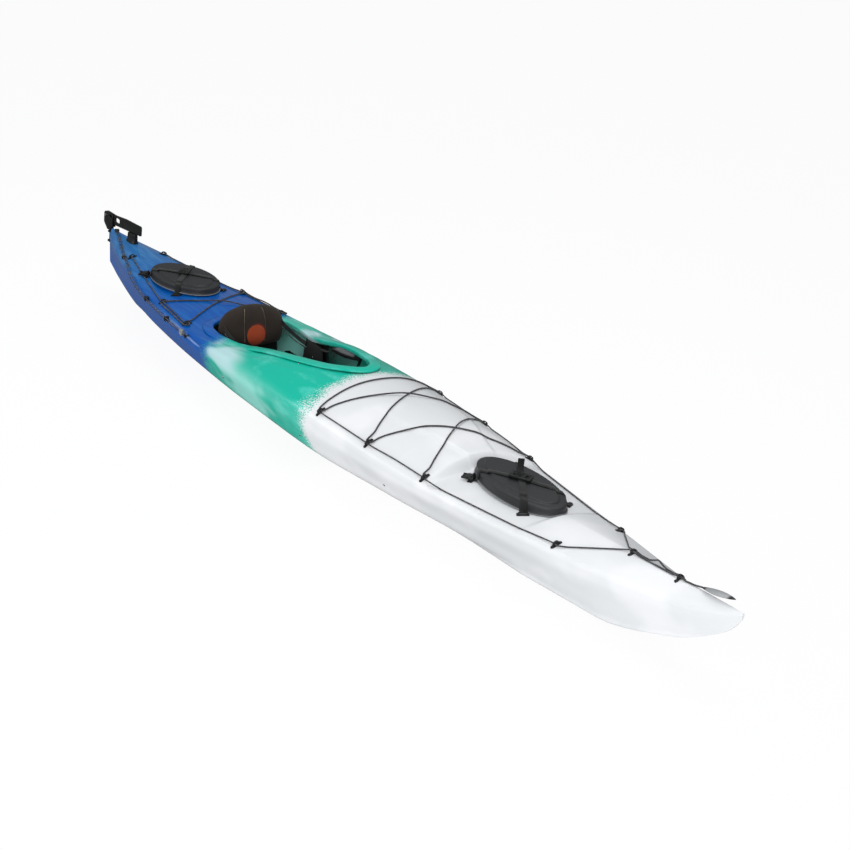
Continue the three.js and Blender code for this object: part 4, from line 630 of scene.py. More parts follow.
# share of the length from the aft end, share of the half width
cockpitTable = [
    (0, 0), (0.008, 0.36), (0.03, 0.66), (0.066, 0.86), (0.115, 0.965), (0.175, 1), (0.27, 0.965), (0.37, 0.87),
    (0.47, 0.805), (0.565, 0.78), (0.66, 0.745), (0.76, 0.665), (0.86, 0.53), (0.935, 0.37), (0.982, 0.19), (1, 0),
]
rimTable = [
    (0, 0.694), (0.16, 0.694), (0.31, 0.706), (0.46, 0.786), (0.565, 0.851), (0.67, 0.903), (0.77, 0.943),
    (0.875, 0.98), (1, 1.029), (1.1, 1.035),
]
rimReader = smoothColumn(rimTable, 1)


def rimHeight(x):
    return rimReader(max(0, (x - cockpit["aft"]) / cockpit["length"])) * hull["depth"]


def cockpitOutline(reach=0.0, step=0.012):
    # points round the opening, drawn out by a reach, and the way out at each
    port = [Vector((cockpit["aft"] + a * cockpit["length"], w * cockpit["width"] / 2, 0)) for a, w in cockpitTable]
    around = port + [Vector((p.x, -p.y, 0)) for p in port[1:-1]][::-1]
    path = catmull(around, step, closed=True)
    outline = []
    for i, spot in enumerate(path):
        along = (path[(i + 1) % len(path)] - path[i - 1]).normalized()
        out = Vector((-along.y, along.x, 0))  # the outline runs with the sun, so this points out
        outline.append((spot + out * reach, out))
    return outline


# strapTurn is each strap's angle to the centre line, and buckleShift where the buckle sits on it; tail is the
# loose end of the strap: how far from the buckle, and how high
bowHatch = {
    "x": 1.0707, "z": crownReader(0.483) * hull["depth"] + 0.037, "halfLength": 0.218, "halfWidth": 0.108,
    "skirt": 0.036, "slope": -0.038, "strapTurn": math.radians(34), "anchorReach": 0.024, "buckleShift": -0.004,
    "buckleTurn": 34,
    "tail": (
        (0.018, 0), (0.034, 0.0008), (0.050, 0.0034), (0.060, 0.011), (0.064, 0.024), (0.063, 0.040), (0.059, 0.046),
    ),
}
sternHatch = {
    "x": -1.3739, "z": crownReader(-0.662) * hull["depth"] + 0.035, "halfLength": 0.206, "halfWidth": 0.127,
    "skirt": 0.032, "slope": 0.018, "strapTurn": math.radians(40), "anchorReach": 0.022, "buckleShift": -0.006,
    "buckleTurn": -40,
    "tail": (
        (0.018, 0), (0.030, 0.0006), (0.042, 0.0012), (0.054, 0.0018), (0.066, 0.0024), (0.078, 0.0032),
        (0.088, 0.0040),
    ),
}
openings = {"cockpitGap": 0.003, "cockpitCut": (0.175, 0.45), "hatchInset": 0.014, "hatchCut": (0.17, 0.36)}


def oval(hatch, inset, steps=96):
    halfU, halfV = hatch["halfLength"] - inset, hatch["halfWidth"] - inset
    return [Vector((halfU * math.cos(a), halfV * math.sin(a), 0)) for a in turns(steps)]


def cutter(name, outline, low, high):
    return loftRings(name, [[Vector((p.x, p.y, z)) for p in outline] for z in (low, high)])


def buildShell():
    shell = buildSkin()
    addModifier(shell, "SOLIDIFY", thickness=hull["wall"], offset=-1)
    around = [p for p, _ in cockpitOutline(openings["cockpitGap"])]
    tools = [cutter("cockpitCutter", around, *openings["cockpitCut"])]
    for hatch in (bowHatch, sternHatch):
        around = [Vector((p.x + hatch["x"], p.y, 0)) for p in oval(hatch, openings["hatchInset"])]
        tools.append(cutter("hatchCutter", around, *openings["hatchCut"]))
    cutAway(shell, tools)
    smoothBy(shell, 40)
    print("stage: shell cut,", len(shell.data.polygons), "faces")
    return shell


def markInside(piece):
    # 1 where the skin faces the hull's middle, for the material
    layer = piece.data.attributes.new("inward", "FLOAT", "POINT")
    for vertex, mark in zip(piece.data.vertices, layer.data):
        away = Vector((0, vertex.co.y, vertex.co.z - hull["middleZ"]))
        mark.value = 1.0 if vertex.normal.dot(away) < 0 else 0.0


def finderOf(piece):
    mesh = bmesh.new()
    mesh.from_mesh(piece.data)
    tree = BVHTree.FromBMesh(mesh)
    mesh.free()
    return tree


# the three powders' colours, the painted sheer highlight and the painted sheen on the stern's top, where they meet
# along the boat, and how their edges wander, in metres
powders = {
    "blue": ("#0052a8", "#0b64b4"), "sternTopSheenBlue": ("#2168a8", "#3c7eba"), "sideBlue": "#0059b0",
    "teal": ("#0fb49c", "#4fcaba"), "paleTeal": "#a2e4db", "white": ("#dcdee0", "#e6e7e9"),
    "sheerHighlight": "#9db4e4", "milky": "#c4dfe6", "sheerHighlightShare": 0.6, "milkyShare": 0.8, "blueTo": -0.78,
    "blueEdge": 0.05, "whiteFrom": 0.112, "coamingWhiteFrom": 0.19, "whiteEdge": 0.022, "drift": 0.12,
    "speckle": 0.16, "lean": 0.45, "leanFrom": 0.22, "leanTo": 0.10, "inward": 0.26, "gloss": (0.15, 0.25),
}


def objectPlace(tree):
    return addNode(tree, "ShaderNodeTexCoord").outputs["Object"]


def rotomouldedPolyethylene(name, whiteFrom):
    # polyethylene moulded in three colours: even gloss, faint orange peel, and speckled edges where the powders met,
    # with a painted highlight along the sheers and a painted sheen on the stern's top
    material, tree, shader = newMaterial(name, roughness=0.3, ior=1.5)
    shader.inputs["Specular IOR Level"].default_value = 0.33
    place = objectPlace(tree)
    axes = addNode(tree, "ShaderNodeSeparateXYZ", {0: place})

    def noise(size, detail=2.0, stretch=(1, 1, 1), rough=0.5):
        mapping = addNode(tree, "ShaderNodeMapping", {"Vector": place, "Scale": stretch})
        return addNode(tree, "ShaderNodeTexNoise", {
            "Vector": mapping.outputs[0], "Scale": perMetre(size), "Detail": detail, "Roughness": rough,
        }).outputs["Fac"]

    def math2(kind, a, b, clamp=False):
        return addNode(tree, "ShaderNodeMath", {0: a, 1: b}, operation=kind, use_clamp=clamp).outputs[0]

    def times(a, b, clamp=False):
        return math2("MULTIPLY", a, b, clamp)

    def plus(a, b):
        return math2("ADD", a, b)

    def spread(value, low, high, toLow=0.0, toHigh=1.0):
        return addNode(tree, "ShaderNodeMapRange", {
            "Value": value, "From Min": low, "From Max": high, "To Min": toLow, "To Max": toHigh,
        }, interpolation_type="SMOOTHSTEP").outputs[0]

    def band(value, rising, falling):
        return times(spread(value, *rising), spread(value, *falling))

    def mix(fac, a, b):
        node = addNode(tree, "ShaderNodeMix", data_type="RGBA")
        for socket, value in ((node.inputs[0], fac), (node.inputs[6], a), (node.inputs[7], b)):
            if isinstance(value, bpy.types.NodeSocket):
                tree.links.new(value, socket)
            else:
                socket.default_value = value
        return node.outputs[2]

    def clouded(key, fac):
        return mix(fac, *(toLinear(colour) for colour in powders[key]))

    x, y, z = (axes.outputs[k] for k in "XYZ")
    drift = times(math2("SUBTRACT", noise(160, 3), 0.5), powders["drift"])
    speckle = times(math2("SUBTRACT", noise(5, 1, rough=0.7), 0.5), powders["speckle"])
    warped = plus(plus(x, drift), speckle)
    cloud = noise(95, 4, (0.45, 1, 1), 0.62)
    soft = noise(150, 2, (0.6, 1, 1), 0.5)
    streak = noise(26, 5, (0.12, 1, 1.6), 0.6)

    blue = clouded("blue", spread(streak, 0.40, 0.72))
    # a lighter blue on top of the deck near the stern is a painted sheen where the lamps light it
    sternTopSheenBlue = clouded("sternTopSheenBlue", spread(streak, 0.36, 0.70))
    blue = mix(times(spread(x, -1.15, -1.75), spread(z, 0.20, 0.25)), blue, sternTopSheenBlue)
    blue = mix(spread(z, 0.21, 0.15), blue, toLinear(powders["sideBlue"]))
    teal = clouded("teal", spread(cloud, 0.5, 0.74))
    # pale clouds low on the sides, fewer of them ahead of the seat's screws
    low = times(spread(z, 0.262, 0.19), spread(x, 0.0, -0.15, 0.2, 1.0))
    teal = mix(times(spread(soft, 0.34, 0.60), times(low, 0.75)), teal, toLinear(powders["paleTeal"]))
    white = clouded("white", spread(noise(220, 2), 0.4, 0.65))
    # the blue powder reached further forward to starboard, and less far low on the sides
    lean = times(math2("SUBTRACT", powders["leanFrom"], math2("MAXIMUM", z, powders["leanTo"])), powders["lean"])
    lean = plus(lean, times(y, powders["lean"]))
    # the inside is teal further aft than the outside
    inward = addNode(tree, "ShaderNodeAttribute", attribute_name="inward").outputs["Fac"]
    blueSide = plus(plus(warped, lean), times(inward, powders["inward"]))
    # a pale violet streak along both sheers, across where blue meets teal, is a painted highlight on the sheer's
    # rounded edge; a milky patch lies ahead of it
    sheerHighlight = times(band(z, (0.186, 0.198), (0.222, 0.208)), band(x, (-1.30, -0.92), (-0.60, -0.76)))
    sheerHighlight = times(sheerHighlight, spread(streak, 0.40, 0.60), True)
    milky = times(band(x, (-0.70, -0.63), (-0.36, -0.50)), band(z, (0.15, 0.215), (0.262, 0.242)))
    milky = times(milky, spread(soft, 0.36, 0.52), True)
    blueTo, blueEdge, whiteEdge = powders["blueTo"], powders["blueEdge"], powders["whiteEdge"]
    colour = mix(spread(blueSide, blueTo - blueEdge, blueTo + blueEdge), blue, teal)
    # the painted sheer highlight is laid over the powders' colour here
    colour = mix(times(sheerHighlight, powders["sheerHighlightShare"]), colour, toLinear(powders["sheerHighlight"]))
    colour = mix(times(milky, powders["milkyShare"]), colour, toLinear(powders["milky"]))
    colour = mix(spread(warped, whiteFrom - whiteEdge, whiteFrom + whiteEdge), colour, white)
    tree.links.new(colour, shader.inputs["Base Color"])
    smoothest, dullest = powders["gloss"]
    gloss = addNode(tree, "ShaderNodeMapRange", {"Value": noise(9, 3), "To Min": smoothest, "To Max": dullest})
    tree.links.new(gloss.outputs[0], shader.inputs["Roughness"])
    bumpFrom(tree, shader, noise(14, 2), 0.00025, 0.5)
    return material


polyethylene = rotomouldedPolyethylene("rotomoulded polyethylene", powders["whiteFrom"])
coamingPolyethylene = rotomouldedPolyethylene("rotomoulded polyethylene of the coaming", powders["coamingWhiteFrom"])
shell = buildShell()
markInside(shell)
shellTree = finderOf(shell)


def deckSpot(x, y):
    # the top of the deck at a place in plan, and which way it faces
    spot, normal, _, _ = shellTree.ray_cast(Vector((x, y, 1)), Vector((0, 0, -1)))
    if spot is None:
        raise ValueError(f"no deck at {x}, {y}")
    return spot, normal


def deckZ(x, y):
    return deckSpot(x, y)[0].z


def buildCoaming():
    lip, wall, thick = cockpit["lip"], cockpit["wall"], cockpit["lipThickness"]
    rings = []
    for spot, out in cockpitOutline():
        top = rimHeight(spot.x)
        beyond = spot + out * (wall + 0.02)
        footIn, footOut = deckHeight(spot.x, spot.y), deckHeight(beyond.x, beyond.y)
        under = top - thick
        low = min(footIn - 0.009, under)
        flare = min(0.022, max(0.008, under - footOut))
        # reach out from the opening and height, from the foot inside over the lip to the foot outside
        profile = [
            (0, low), (0, under), (0.0002, top - 0.003), (0.0012, top - 0.001), (0.003, top), (0.012, top + 0.0002),
            (0.028, top - 0.0012), (lip - 0.006, top - 0.0028), (lip - 0.002, top - 0.0038), (lip, top - 0.0062),
            (lip, top - 0.0088), (lip - 0.0025, top - 0.0104), (lip - 0.008, top - 0.0102), (0.024, under - 0.001),
            (wall + 0.008, under - 0.0012), (wall + 0.003, under - 0.0035), (wall + 0.0005, under - 0.008),
            (wall, min(under - 0.009, footOut + flare)), (wall + 0.0015, min(under - 0.01, footOut + flare * 0.45)),
            (wall + 0.006, min(under - 0.011, footOut + flare * 0.12)),
            (wall + 0.014, min(under - 0.012, footOut - 0.001)), (wall + 0.014, min(under - 0.013, footOut - 0.004)),
            (wall, min(under - 0.014, footOut - 0.006)),
        ]
        rings.append([Vector((spot.x + out.x * r, spot.y + out.y * r, z)) for r, z in profile])
    return smoothBy(loftRings("coamingRim", rings, closed=True), 50)


coaming = buildCoaming()
settle(shell, "hull", "hull_plastic", polyethylene, "hull_shell", "deck_shell")
settle(coaming, "hull", "deck_plastic", coamingPolyethylene)
print("stage: shell and coaming")

# Plain materials of the fittings


def plainMaterial(name, colour, roughness, grain=None, depth=0.0, metallic=0.0, variation=0.0):
    material, tree, shader = newMaterial(name, roughness, metallic)
    shader.inputs["Base Color"].default_value = toLinear(colour)
    if grain:
        noise = addNode(tree, "ShaderNodeTexNoise", {
            "Vector": objectPlace(tree), "Scale": perMetre(grain), "Detail": 3.0,
        }).outputs["Fac"]
        bumpFrom(tree, shader, noise, depth)
        if variation:
            ramp = fillRamp(addNode(tree, "ShaderNodeValToRGB", {"Fac": noise}), [
                (0.35, tuple(c * (1 - variation) for c in toLinear(colour)[:3]) + (1,)),
                (0.65, tuple(min(1, c * (1 + variation)) for c in toLinear(colour)[:3]) + (1,)),
            ])
            tree.links.new(ramp.outputs["Color"], shader.inputs["Base Color"])
    return material


def wovenMaterial(name, dark, light, size, depth, roughness=0.85, sheen=0.1):
    # two crossed sets of yarns: a fine weave that the eye reads as cloth
    material, tree, shader = newMaterial(name, roughness, sheen=sheen)
    place = objectPlace(tree)

    def product(a, b):
        return addNode(tree, "ShaderNodeMath", {0: a, 1: b}, operation="MULTIPLY").outputs[0]

    # one wave is 0.314 of the texture's units long, and makes two yarns
    yarns = {"Vector": place, "Scale": perMetre(size) / 6.3, "Distortion": 0.6}
    warp, weft = (addNode(tree, "ShaderNodeTexWave", yarns, bands_direction=way).outputs["Fac"] for way in "YZ")
    both = product(warp, weft)
    blotch = addNode(tree, "ShaderNodeTexNoise", {"Vector": place, "Scale": perMetre(60), "Detail": 2.0})
    ramp = addNode(tree, "ShaderNodeValToRGB", {"Fac": product(both, blotch.outputs["Fac"])})
    fillRamp(ramp, [(0.0, toLinear(dark)), (0.5, toLinear(light))])
    tree.links.new(ramp.outputs["Color"], shader.inputs["Base Color"])
    bumpFrom(tree, shader, both, depth)
    return material


# rubber and nylon are matt with a fine moulded grain; webbing, cord and cloth are woven; grain sizes in millimetres
lidRubber = plainMaterial("moulded hatch rubber", "#292a2c", 0.5, 0.9, 0.00006, variation=0.05)
# the lip's lighter grey is a painted highlight along the lid skirt's lower edge
highlightLipRubber = plainMaterial("rubber lip painted light grey as a highlight", "#77797b", 0.35, 0.9, 0.00004)
fittingNylon = plainMaterial("injection moulded nylon", "#101112", 0.38, 1.6, 0.00003)
greyNylon = plainMaterial("grey moulded nylon", "#85878a", 0.45, 1.6, 0.00003)
webbingWeave = wovenMaterial("polyester webbing", "#0d0d0e", "#222325", 1.6, 0.00012)
cordBraid = wovenMaterial("braided shock cord", "#242427", "#66666a", 2.2, 0.0003)
brightSteel = plainMaterial("stainless steel", "#b9bcc0", 0.25, metallic=1.0)
seatCloth = wovenMaterial("brown seat cloth", "#1c140e", "#3d2f22", 1.3, 0.00012, sheen=0.05)
seatSeam = plainMaterial("light seam thread", "#8d8271", 0.8)
orangePatch = wovenMaterial("orange cloth patch", "#8a2f0c", "#c2501b", 1.2, 0.0001)
maroonCloth = wovenMaterial("maroon patch edge", "#3d0f0b", "#5e1a12", 1.2, 0.0001)
ribbedFoam = plainMaterial("ribbed grey foam", "#55575a", 0.7, 1.4, 0.0001)
paddingFoam = plainMaterial("closed-cell foam skin", "#121314", 0.75, 1.2, 0.0001)
bulkheadFoam = plainMaterial("cross-linked foam plate", "#3a3b3d", 0.85, 2.5, 0.0002)

# Hatch lids with their straps, buckles, clips, rims and anchors

hatchTrim = {
    "strapWidth": 0.025, "strapThickness": 0.0018, "overLift": 0.0024, "tailLift": 0.0128, "tailShare": 0.94,
    "anchorLength": 0.020, "buckle": (0.080, 0.046, 0.011), "buckleLift": 0.0185, "rimInset": 0.009,
    "rimWall": 0.005, "rimDrop": 0.022, "seatGap": 0.0004, "lipRadius": 0.0019, "lipOut": 0.0042, "lipUp": 0.0030,
}


def lidPlane(hatch, x):
    return hatch["z"] + hatch["slope"] * (x - hatch["x"])


def buildLid(hatch):
    low = -hatch["skirt"]
    # inset from the edge and height over the lid's plane, from the middle of the top round to the underside; an
    # inset over 0.2 is a share of the way in to the middle
    profile = [
        (0.95, 0.0082), (0.7, 0.0079), (0.45, 0.0074), (0.036, 0.0070), (0.0335, 0.0068), (0.0318, 0.0058),
        (0.0302, 0.0036), (0.0286, 0.0017), (0.0265, 0.0008), (0.020, 0.0004), (0.010, 0.0002), (0.0055, -0.0002),
        (0.0028, -0.0012), (0.0008, -0.0032), (0.0, -0.0060), (0.0, low * 0.45), (-0.0004, low + 0.010),
        (-0.0010, low + 0.0075), (-0.0028, low + 0.0060), (-0.0036, low + 0.0040), (-0.0034, low + 0.0014),
        (-0.0026, low), (0.0058, low), (0.0060, low + 0.004), (0.0060, -0.0060), (0.03, -0.0058), (0.5, -0.005),
        (0.95, -0.005),
    ]
    rings = []
    for inset, rise in profile:
        ring = [p * (1 - inset) for p in oval(hatch, 0.03)] if inset > 0.2 else oval(hatch, inset)
        placed = []
        for p in ring:
            x, y = p.x + hatch["x"], p.y
            z = lidPlane(hatch, x) + rise
            if rise < -0.015:
                z = max(z, deckZ(x, y) + hatchTrim["seatGap"] + (rise - low))
            placed.append(Vector((x, y, z)))
        rings.append(placed)
    return smoothBy(loftRings("hatchLid", rings), 50)


def ovalReach(hatch, angle, inset=0.0):
    # from the lid's middle to its oval, drawn in by an inset, along an angle
    u, v = math.cos(angle) / (hatch["halfLength"] - inset), math.sin(angle) / (hatch["halfWidth"] - inset)
    return 1 / math.hypot(u, v)


def strapRun(hatch, angle, lifted):
    # points from anchor to anchor over the lid, and the way across the strap at each: it folds along the lid's edge
    heading, across = Vector((math.cos(angle), math.sin(angle), 0)), Vector((-math.sin(angle), math.cos(angle), 0))
    edge = ovalReach(hatch, angle)
    spot = heading * edge
    rim = Vector((-spot.y / hatch["halfWidth"] ** 2, spot.x / hatch["halfLength"] ** 2, 0)).normalized()
    lean = rim.dot(heading) / rim.dot(across)
    anchored = edge + hatch["anchorReach"] - hatchTrim["anchorLength"] / 2 + 0.003
    off = hatchTrim["strapThickness"] / 2 + 0.0004

    def half(end):
        # distance along the strap from the lid's middle and height over the lid's plane, from the anchor in
        foot = heading * end * anchored
        x, y = hatch["x"] + foot.x, foot.y
        low = deckZ(x, y) - lidPlane(hatch, x) + 0.0045
        insets = [ovalReach(hatch, angle, inset) for inset in (0.006, 0.026, 0.031, 0.036)]
        marks = [
            (anchored, low), (edge + off + 0.0055, low + 0.0022), (edge + off + 0.0042, low + 0.009),
            (edge + off + 0.0014, -0.009), (edge - 0.0008, -0.0010 + off), (insets[0], off + 0.0010),
            (insets[1] + 0.002, off + 0.0020), (insets[2] + 0.002, 0.0070 + off), (insets[3], 0.0078 + off),
        ]
        return [(end * u, z) for u, z in marks]

    marks = half(1) + [(0.02, 0.0086 + off + lifted), (-0.02, 0.0086 + off + lifted)] + half(-1)[::-1]
    spots = []
    for u, z in marks:
        place = heading * u
        x = hatch["x"] + place.x
        spots.append(Vector((x, place.y, lidPlane(hatch, x) + z)))
    run, ways = catmull(spots, 0.004), []
    for spot in run:
        u = abs((spot - Vector((hatch["x"], 0, 0))).dot(heading))
        folded = smoothStep(edge - 0.05, edge - 0.012, u) * smoothStep(anchored + 0.001, edge + 0.007, u)
        ways.append(across + heading * lean * folded)
    return run, ways


def buildStraps(hatch):
    turn, width, thick = hatch["strapTurn"], hatchTrim["strapWidth"], hatchTrim["strapThickness"]
    pieces = []
    for name, angle, lifted in (("strapUnder", -turn, 0.0), ("strapOver", turn, hatchTrim["overLift"])):
        run, ways = strapRun(hatch, angle, lifted)
        pieces.append(bandAlong(name, run, width, thick, ways))
    # the loose tail of the under strap leaves the buckle aft and to port
    back = Vector((-math.cos(turn), math.sin(turn), 0))
    tail = []
    for reach, rise in hatch["tail"]:
        spot = back * reach
        x = hatch["x"] + hatch["buckleShift"] + spot.x
        tail.append((x, spot.y, lidPlane(hatch, x) + hatchTrim["tailLift"] + rise))
    across = Vector((back.y, -back.x, 0))
    pieces.append(bandAlong("strapTail", catmull(tail, 0.004), width * hatchTrim["tailShare"], thick, across))
    return joinPieces("hatchStraps", pieces)


def buildBuckle(hatch):
    # a cam buckle: a frame with side rails, a pressing plate, and the bars that grip the strap
    length, width, height = hatchTrim["buckle"]
    frameOuter = roundOutline(length / 2, width / 2, 0.006)
    prongHole = roundOutline(0.010, 0.0105, 0.0025, centre=(-0.016, 0))[::-1]
    slot = roundOutline(0.0035, 0.0135, 0.0015, centre=(0.021, 0))[::-1]
    parts = [flatShape("buckleBody", [frameOuter, prongHole, slot], height * 0.7, 0.0012)]
    # each bar's place along the buckle, its thickness, and its share of the buckle's width
    for x, thick, share in ((0.0275, 0.003, 0.86), (0.0145, 0.003, 0.86), (0.004, 0.0025, 0.7)):
        parts.append(roundBlock("buckleBar", (thick, width * share, thick), (x, 0, height * 0.33), 0.0008))
    parts.append(roundBlock("bucklePress", (0.016, 0.018, 0.0035), (-0.016, 0, 0.0006), 0.0012))
    for s in (-1, 1):
        centre = (0, s * (width / 2 - 0.0022), height * 0.3)
        parts.append(roundBlock("buckleRail", (length * 0.86, 0.003, 0.0045), centre, 0.0010))
    buckle = joinPieces("hatchBuckle", parts)
    slope, turn = -math.atan(hatch["slope"]), math.radians(hatch["buckleTurn"])
    place = Matrix.Translation((hatch["x"] + hatch["buckleShift"], 0, hatch["z"] + hatchTrim["buckleLift"]))
    buckle.data.transform(place @ (Matrix.Rotation(slope, 4, "Y") @ Matrix.Rotation(turn, 4, "Z")))
    return smoothBy(buckle, 35)


def anchorSpots(hatch):
    # four places, the aft starboard one first
    places = []
    for angle in (hatch["strapTurn"], -hatch["strapTurn"]):
        reach = ovalReach(hatch, angle) + hatch["anchorReach"]
        for end in (-1, 1):
            places.append((hatch["x"] + end * reach * math.cos(angle), end * reach * math.sin(angle), angle))
    return places


def standOnDeck(piece, x, y, turned):
    # from the origin to a place on the deck, leaning as the deck does there
    spot, normal = deckSpot(x, y)
    lean = Vector((0, 0, 1)).rotation_difference(normal).to_matrix().to_4x4()
    piece.data.transform(Matrix.Translation(spot) @ lean @ Matrix.Rotation(turned, 4, "Z"))
    return piece


# moulded blocks of an anchor, and of the quick-release clip: name, size, centre, rounding and its steps
anchorBlocks = [
    ("anchorFoot", (0.018, 0.044, 0.0035), (0, 0, 0.0012), 0.0014, 3),
    ("anchorBridge", (0.015, 0.034, 0.0075), (0, 0, 0.005), 0.0028, 4),
]
clipBlocks = [
    ("strapClip", (0.030, 0.034, 0.010), (0, 0, 0.0125), 0.003, 4),
    ("clipArm", (0.018, 0.0045, 0.007), (-0.022, -0.0135, 0.0115), 0.0015, 3),
    ("clipArm", (0.018, 0.0045, 0.007), (-0.022, 0.0135, 0.0115), 0.0015, 3),
    ("clipTongue", (0.020, 0.012, 0.0045), (-0.020, 0, 0.0115), 0.0015, 3),
]


def buildAnchors(hatch):
    # a moulded bridge at each end of the straps, screwed down at both sides
    parts = []
    for x, y, turned in anchorSpots(hatch):
        anchor = [roundBlock(*block) for block in anchorBlocks]
        for v in (-0.0192, 0.0192):
            anchor.append(roundBar("anchorScrew", (0, v, 0.002), (0, v, 0.0042), 0.0026, vertices=20))
        parts.append(standOnDeck(joinPieces("strapAnchor", anchor), x, y, turned))
    # the quick-release clip at the aft starboard end, with its prongs and folded webbing
    x, y, turned = anchorSpots(hatch)[0]
    clip = [roundBlock(*block) for block in clipBlocks]
    clip.append(roundBar("clipFold", (0.008, -0.0125, 0.0200), (0.008, 0.0125, 0.0200), 0.0042))
    clip = joinPieces("strapClip", clip)
    parts.append(standOnDeck(clip, x - 0.003 * math.cos(turned), y - 0.003 * math.sin(turned), turned))
    return smoothBy(joinPieces("strapAnchors", parts), 35)


def buildLip(hatch):
    # the skirt's thick lower lip, in a lighter grey rubber that paints the highlight along the skirt's edge
    spots = []
    for p in oval(hatch, -hatchTrim["lipOut"]):
        x, y = p.x + hatch["x"], p.y
        z = max(lidPlane(hatch, x) - hatch["skirt"], deckZ(x, y) + hatchTrim["seatGap"])
        spots.append(Vector((x, y, z + hatchTrim["lipUp"])))
    rings = []
    for i, spot in enumerate(spots):
        along = (spots[(i + 1) % len(spots)] - spots[i - 1]).normalized()
        out = along.cross(Vector((0, 0, 1))).normalized()
        up = out.cross(along)
        rings.append([spot + hatchTrim["lipRadius"] * (math.cos(a) * out + math.sin(a) * up) for a in turns(10)])
    return smoothBy(loftRings("lidLip", rings, closed=True), 60)


def buildRim(hatch):
    inset, wall = hatchTrim["rimInset"], hatchTrim["rimWall"]
    rings = []
    for p, q in zip(oval(hatch, inset), oval(hatch, inset + wall)):
        x, y = p.x + hatch["x"], p.y
        top = lidPlane(hatch, x) - hatchTrim["rimDrop"]
        foot = deckZ(x + (p.x - q.x) * 0.5, y + (p.y - q.y) * 0.5) - 0.003
        step = p - q
        # reach out from the rim's outer face in walls, and height
        profile = [
            (0, foot), (0, top - 0.005), (0.35, top - 0.004), (0.35, top - 0.0012), (0.1, top), (-0.85, top),
            (-1.0, top - 0.0015), (-1.0, foot - 0.002),
        ]
        rings.append([Vector((x + step.x * r, y + step.y * r, z)) for r, z in profile])
    return smoothBy(loftRings("hatchRim", rings, closed=True), 45)


for side, hatch in (("bow", bowHatch), ("stern", sternHatch)):
    cover = f"{side}_cover"
    settle(buildLid(hatch), cover, "hatch_rubber", lidRubber, f"{side}_hatch_cover")
    settle(buildLip(hatch), cover, "hatch_rubber", highlightLipRubber)
    settle(buildStraps(hatch), cover, "webbing", webbingWeave, f"{side}_hatch_straps")
    settle(buildBuckle(hatch), cover, "black_plastic", fittingNylon, f"{side}_hatch_buckle")
    settle(buildAnchors(hatch), "hull", "black_plastic", fittingNylon)
    settle(buildRim(hatch), "hull", "deck_plastic", polyethylene)
print("stage: hatches")

# Deck eyes and cords

eyeTrim = {
    "foot": (0.013, 0.046, 0.003), "arch": (0.0125, 0.0152, 0.0075), "archThickness": 0.0105, "screwAt": 0.0183,
    "inset": 0.034, "sternInset": 0.046, "centre": 0.007, "bungee": 0.006, "line": 0.005, "hole": (0.009, 0.0045),
    "lift": 0.0012, "through": 0.011, "screw": 0.0032, "socket": 0.0014, "humpWidth": 0.12,
}
foreEyes = [(x, breadthAt(x) - eyeTrim["inset"]) for x in map(atShare, (0.074, 0.219, 0.368, 0.66))]
aftEyes = [(x, breadthAt(x) - (eyeTrim["inset"] if i else eyeTrim["sternInset"]))
           for i, x in enumerate(map(atShare, (-0.829, -0.581, -0.452)))]
joinEye, handleEye = (atShare(0.763), 0.0), (atShare(0.8674), 0.0)


def mirrorEye(eye):
    return eye[0], -eye[1]


def eyeFrame(eye):
    x, y = eye
    reach, run = 0.02, 0.01
    roll = math.atan2(deckZ(x, y + reach) - deckZ(x, y - reach), 2 * reach)
    pitch = -math.atan2(deckZ(x + run, y) - deckZ(x - run, y), 2 * run)
    return Matrix.Translation((x, y, deckZ(x, y))) @ Matrix.Rotation(roll, 4, "X") @ Matrix.Rotation(pitch, 4, "Y")


def buildEyeModel():
    # moulded eye: a foot with a screw at each end and an arch between them, its hole along the boat
    length, width, thick = eyeTrim["foot"]
    foot = flatShape("eyeFoot", [roundOutline(length / 2, width / 2, 0.006)], thick, 0.0008)
    foot.data.transform(Matrix.Translation((0, 0, thick / 2)))
    half, high, base = eyeTrim["arch"]
    outer = [(-half - 0.003, 0.002), (-half - 0.0006, 0.0042)]
    for k in range(17):
        a = math.pi - math.pi * k / 16
        outer.append((half * math.cos(a), base + (high - base) * math.sin(a)))
    outer += [(half + 0.0006, 0.0042), (half + 0.003, 0.002)]
    hole = [(u, v + eyeTrim["centre"]) for u, v in roundOutline(*eyeTrim["hole"], 0.0038)]
    arch = flatShape("eyeArch", [outer[::-1], hole], eyeTrim["archThickness"], 0.0016)
    arch.data.transform(Matrix(((0, 0, 1, 0), (1, 0, 0, 0), (0, 1, 0, 0), (0, 0, 0, 1))))
    screws = []
    for y in (-eyeTrim["screwAt"], eyeTrim["screwAt"]):
        screws.append(roundBar("eyeScrew", (0, y, 0.0024), (0, y, 0.0044), eyeTrim["screw"], vertices=24))
        cutAway(screws[-1], [roundBar("eyeSocket", (0, y, 0.0036), (0, y, 0.006), eyeTrim["socket"], 0.0001, 6)])
    return smoothBy(joinPieces("deckEye", [foot, arch] + screws), 35)


def placeEye(model, eye, node):
    piece = copyOf(model, f"look_{node}")
    matrix = eyeFrame(eye)
    for vertex in piece.data.vertices:
        spot = matrix @ vertex.co
        flat = matrix @ Vector((vertex.co.x, vertex.co.y, 0))
        vertex.co = spot + Vector((0, 0, (deckZ(flat.x, flat.y) - flat.z) + 0.0001))
    settle(piece, "hull", "black_plastic", fittingNylon, node)


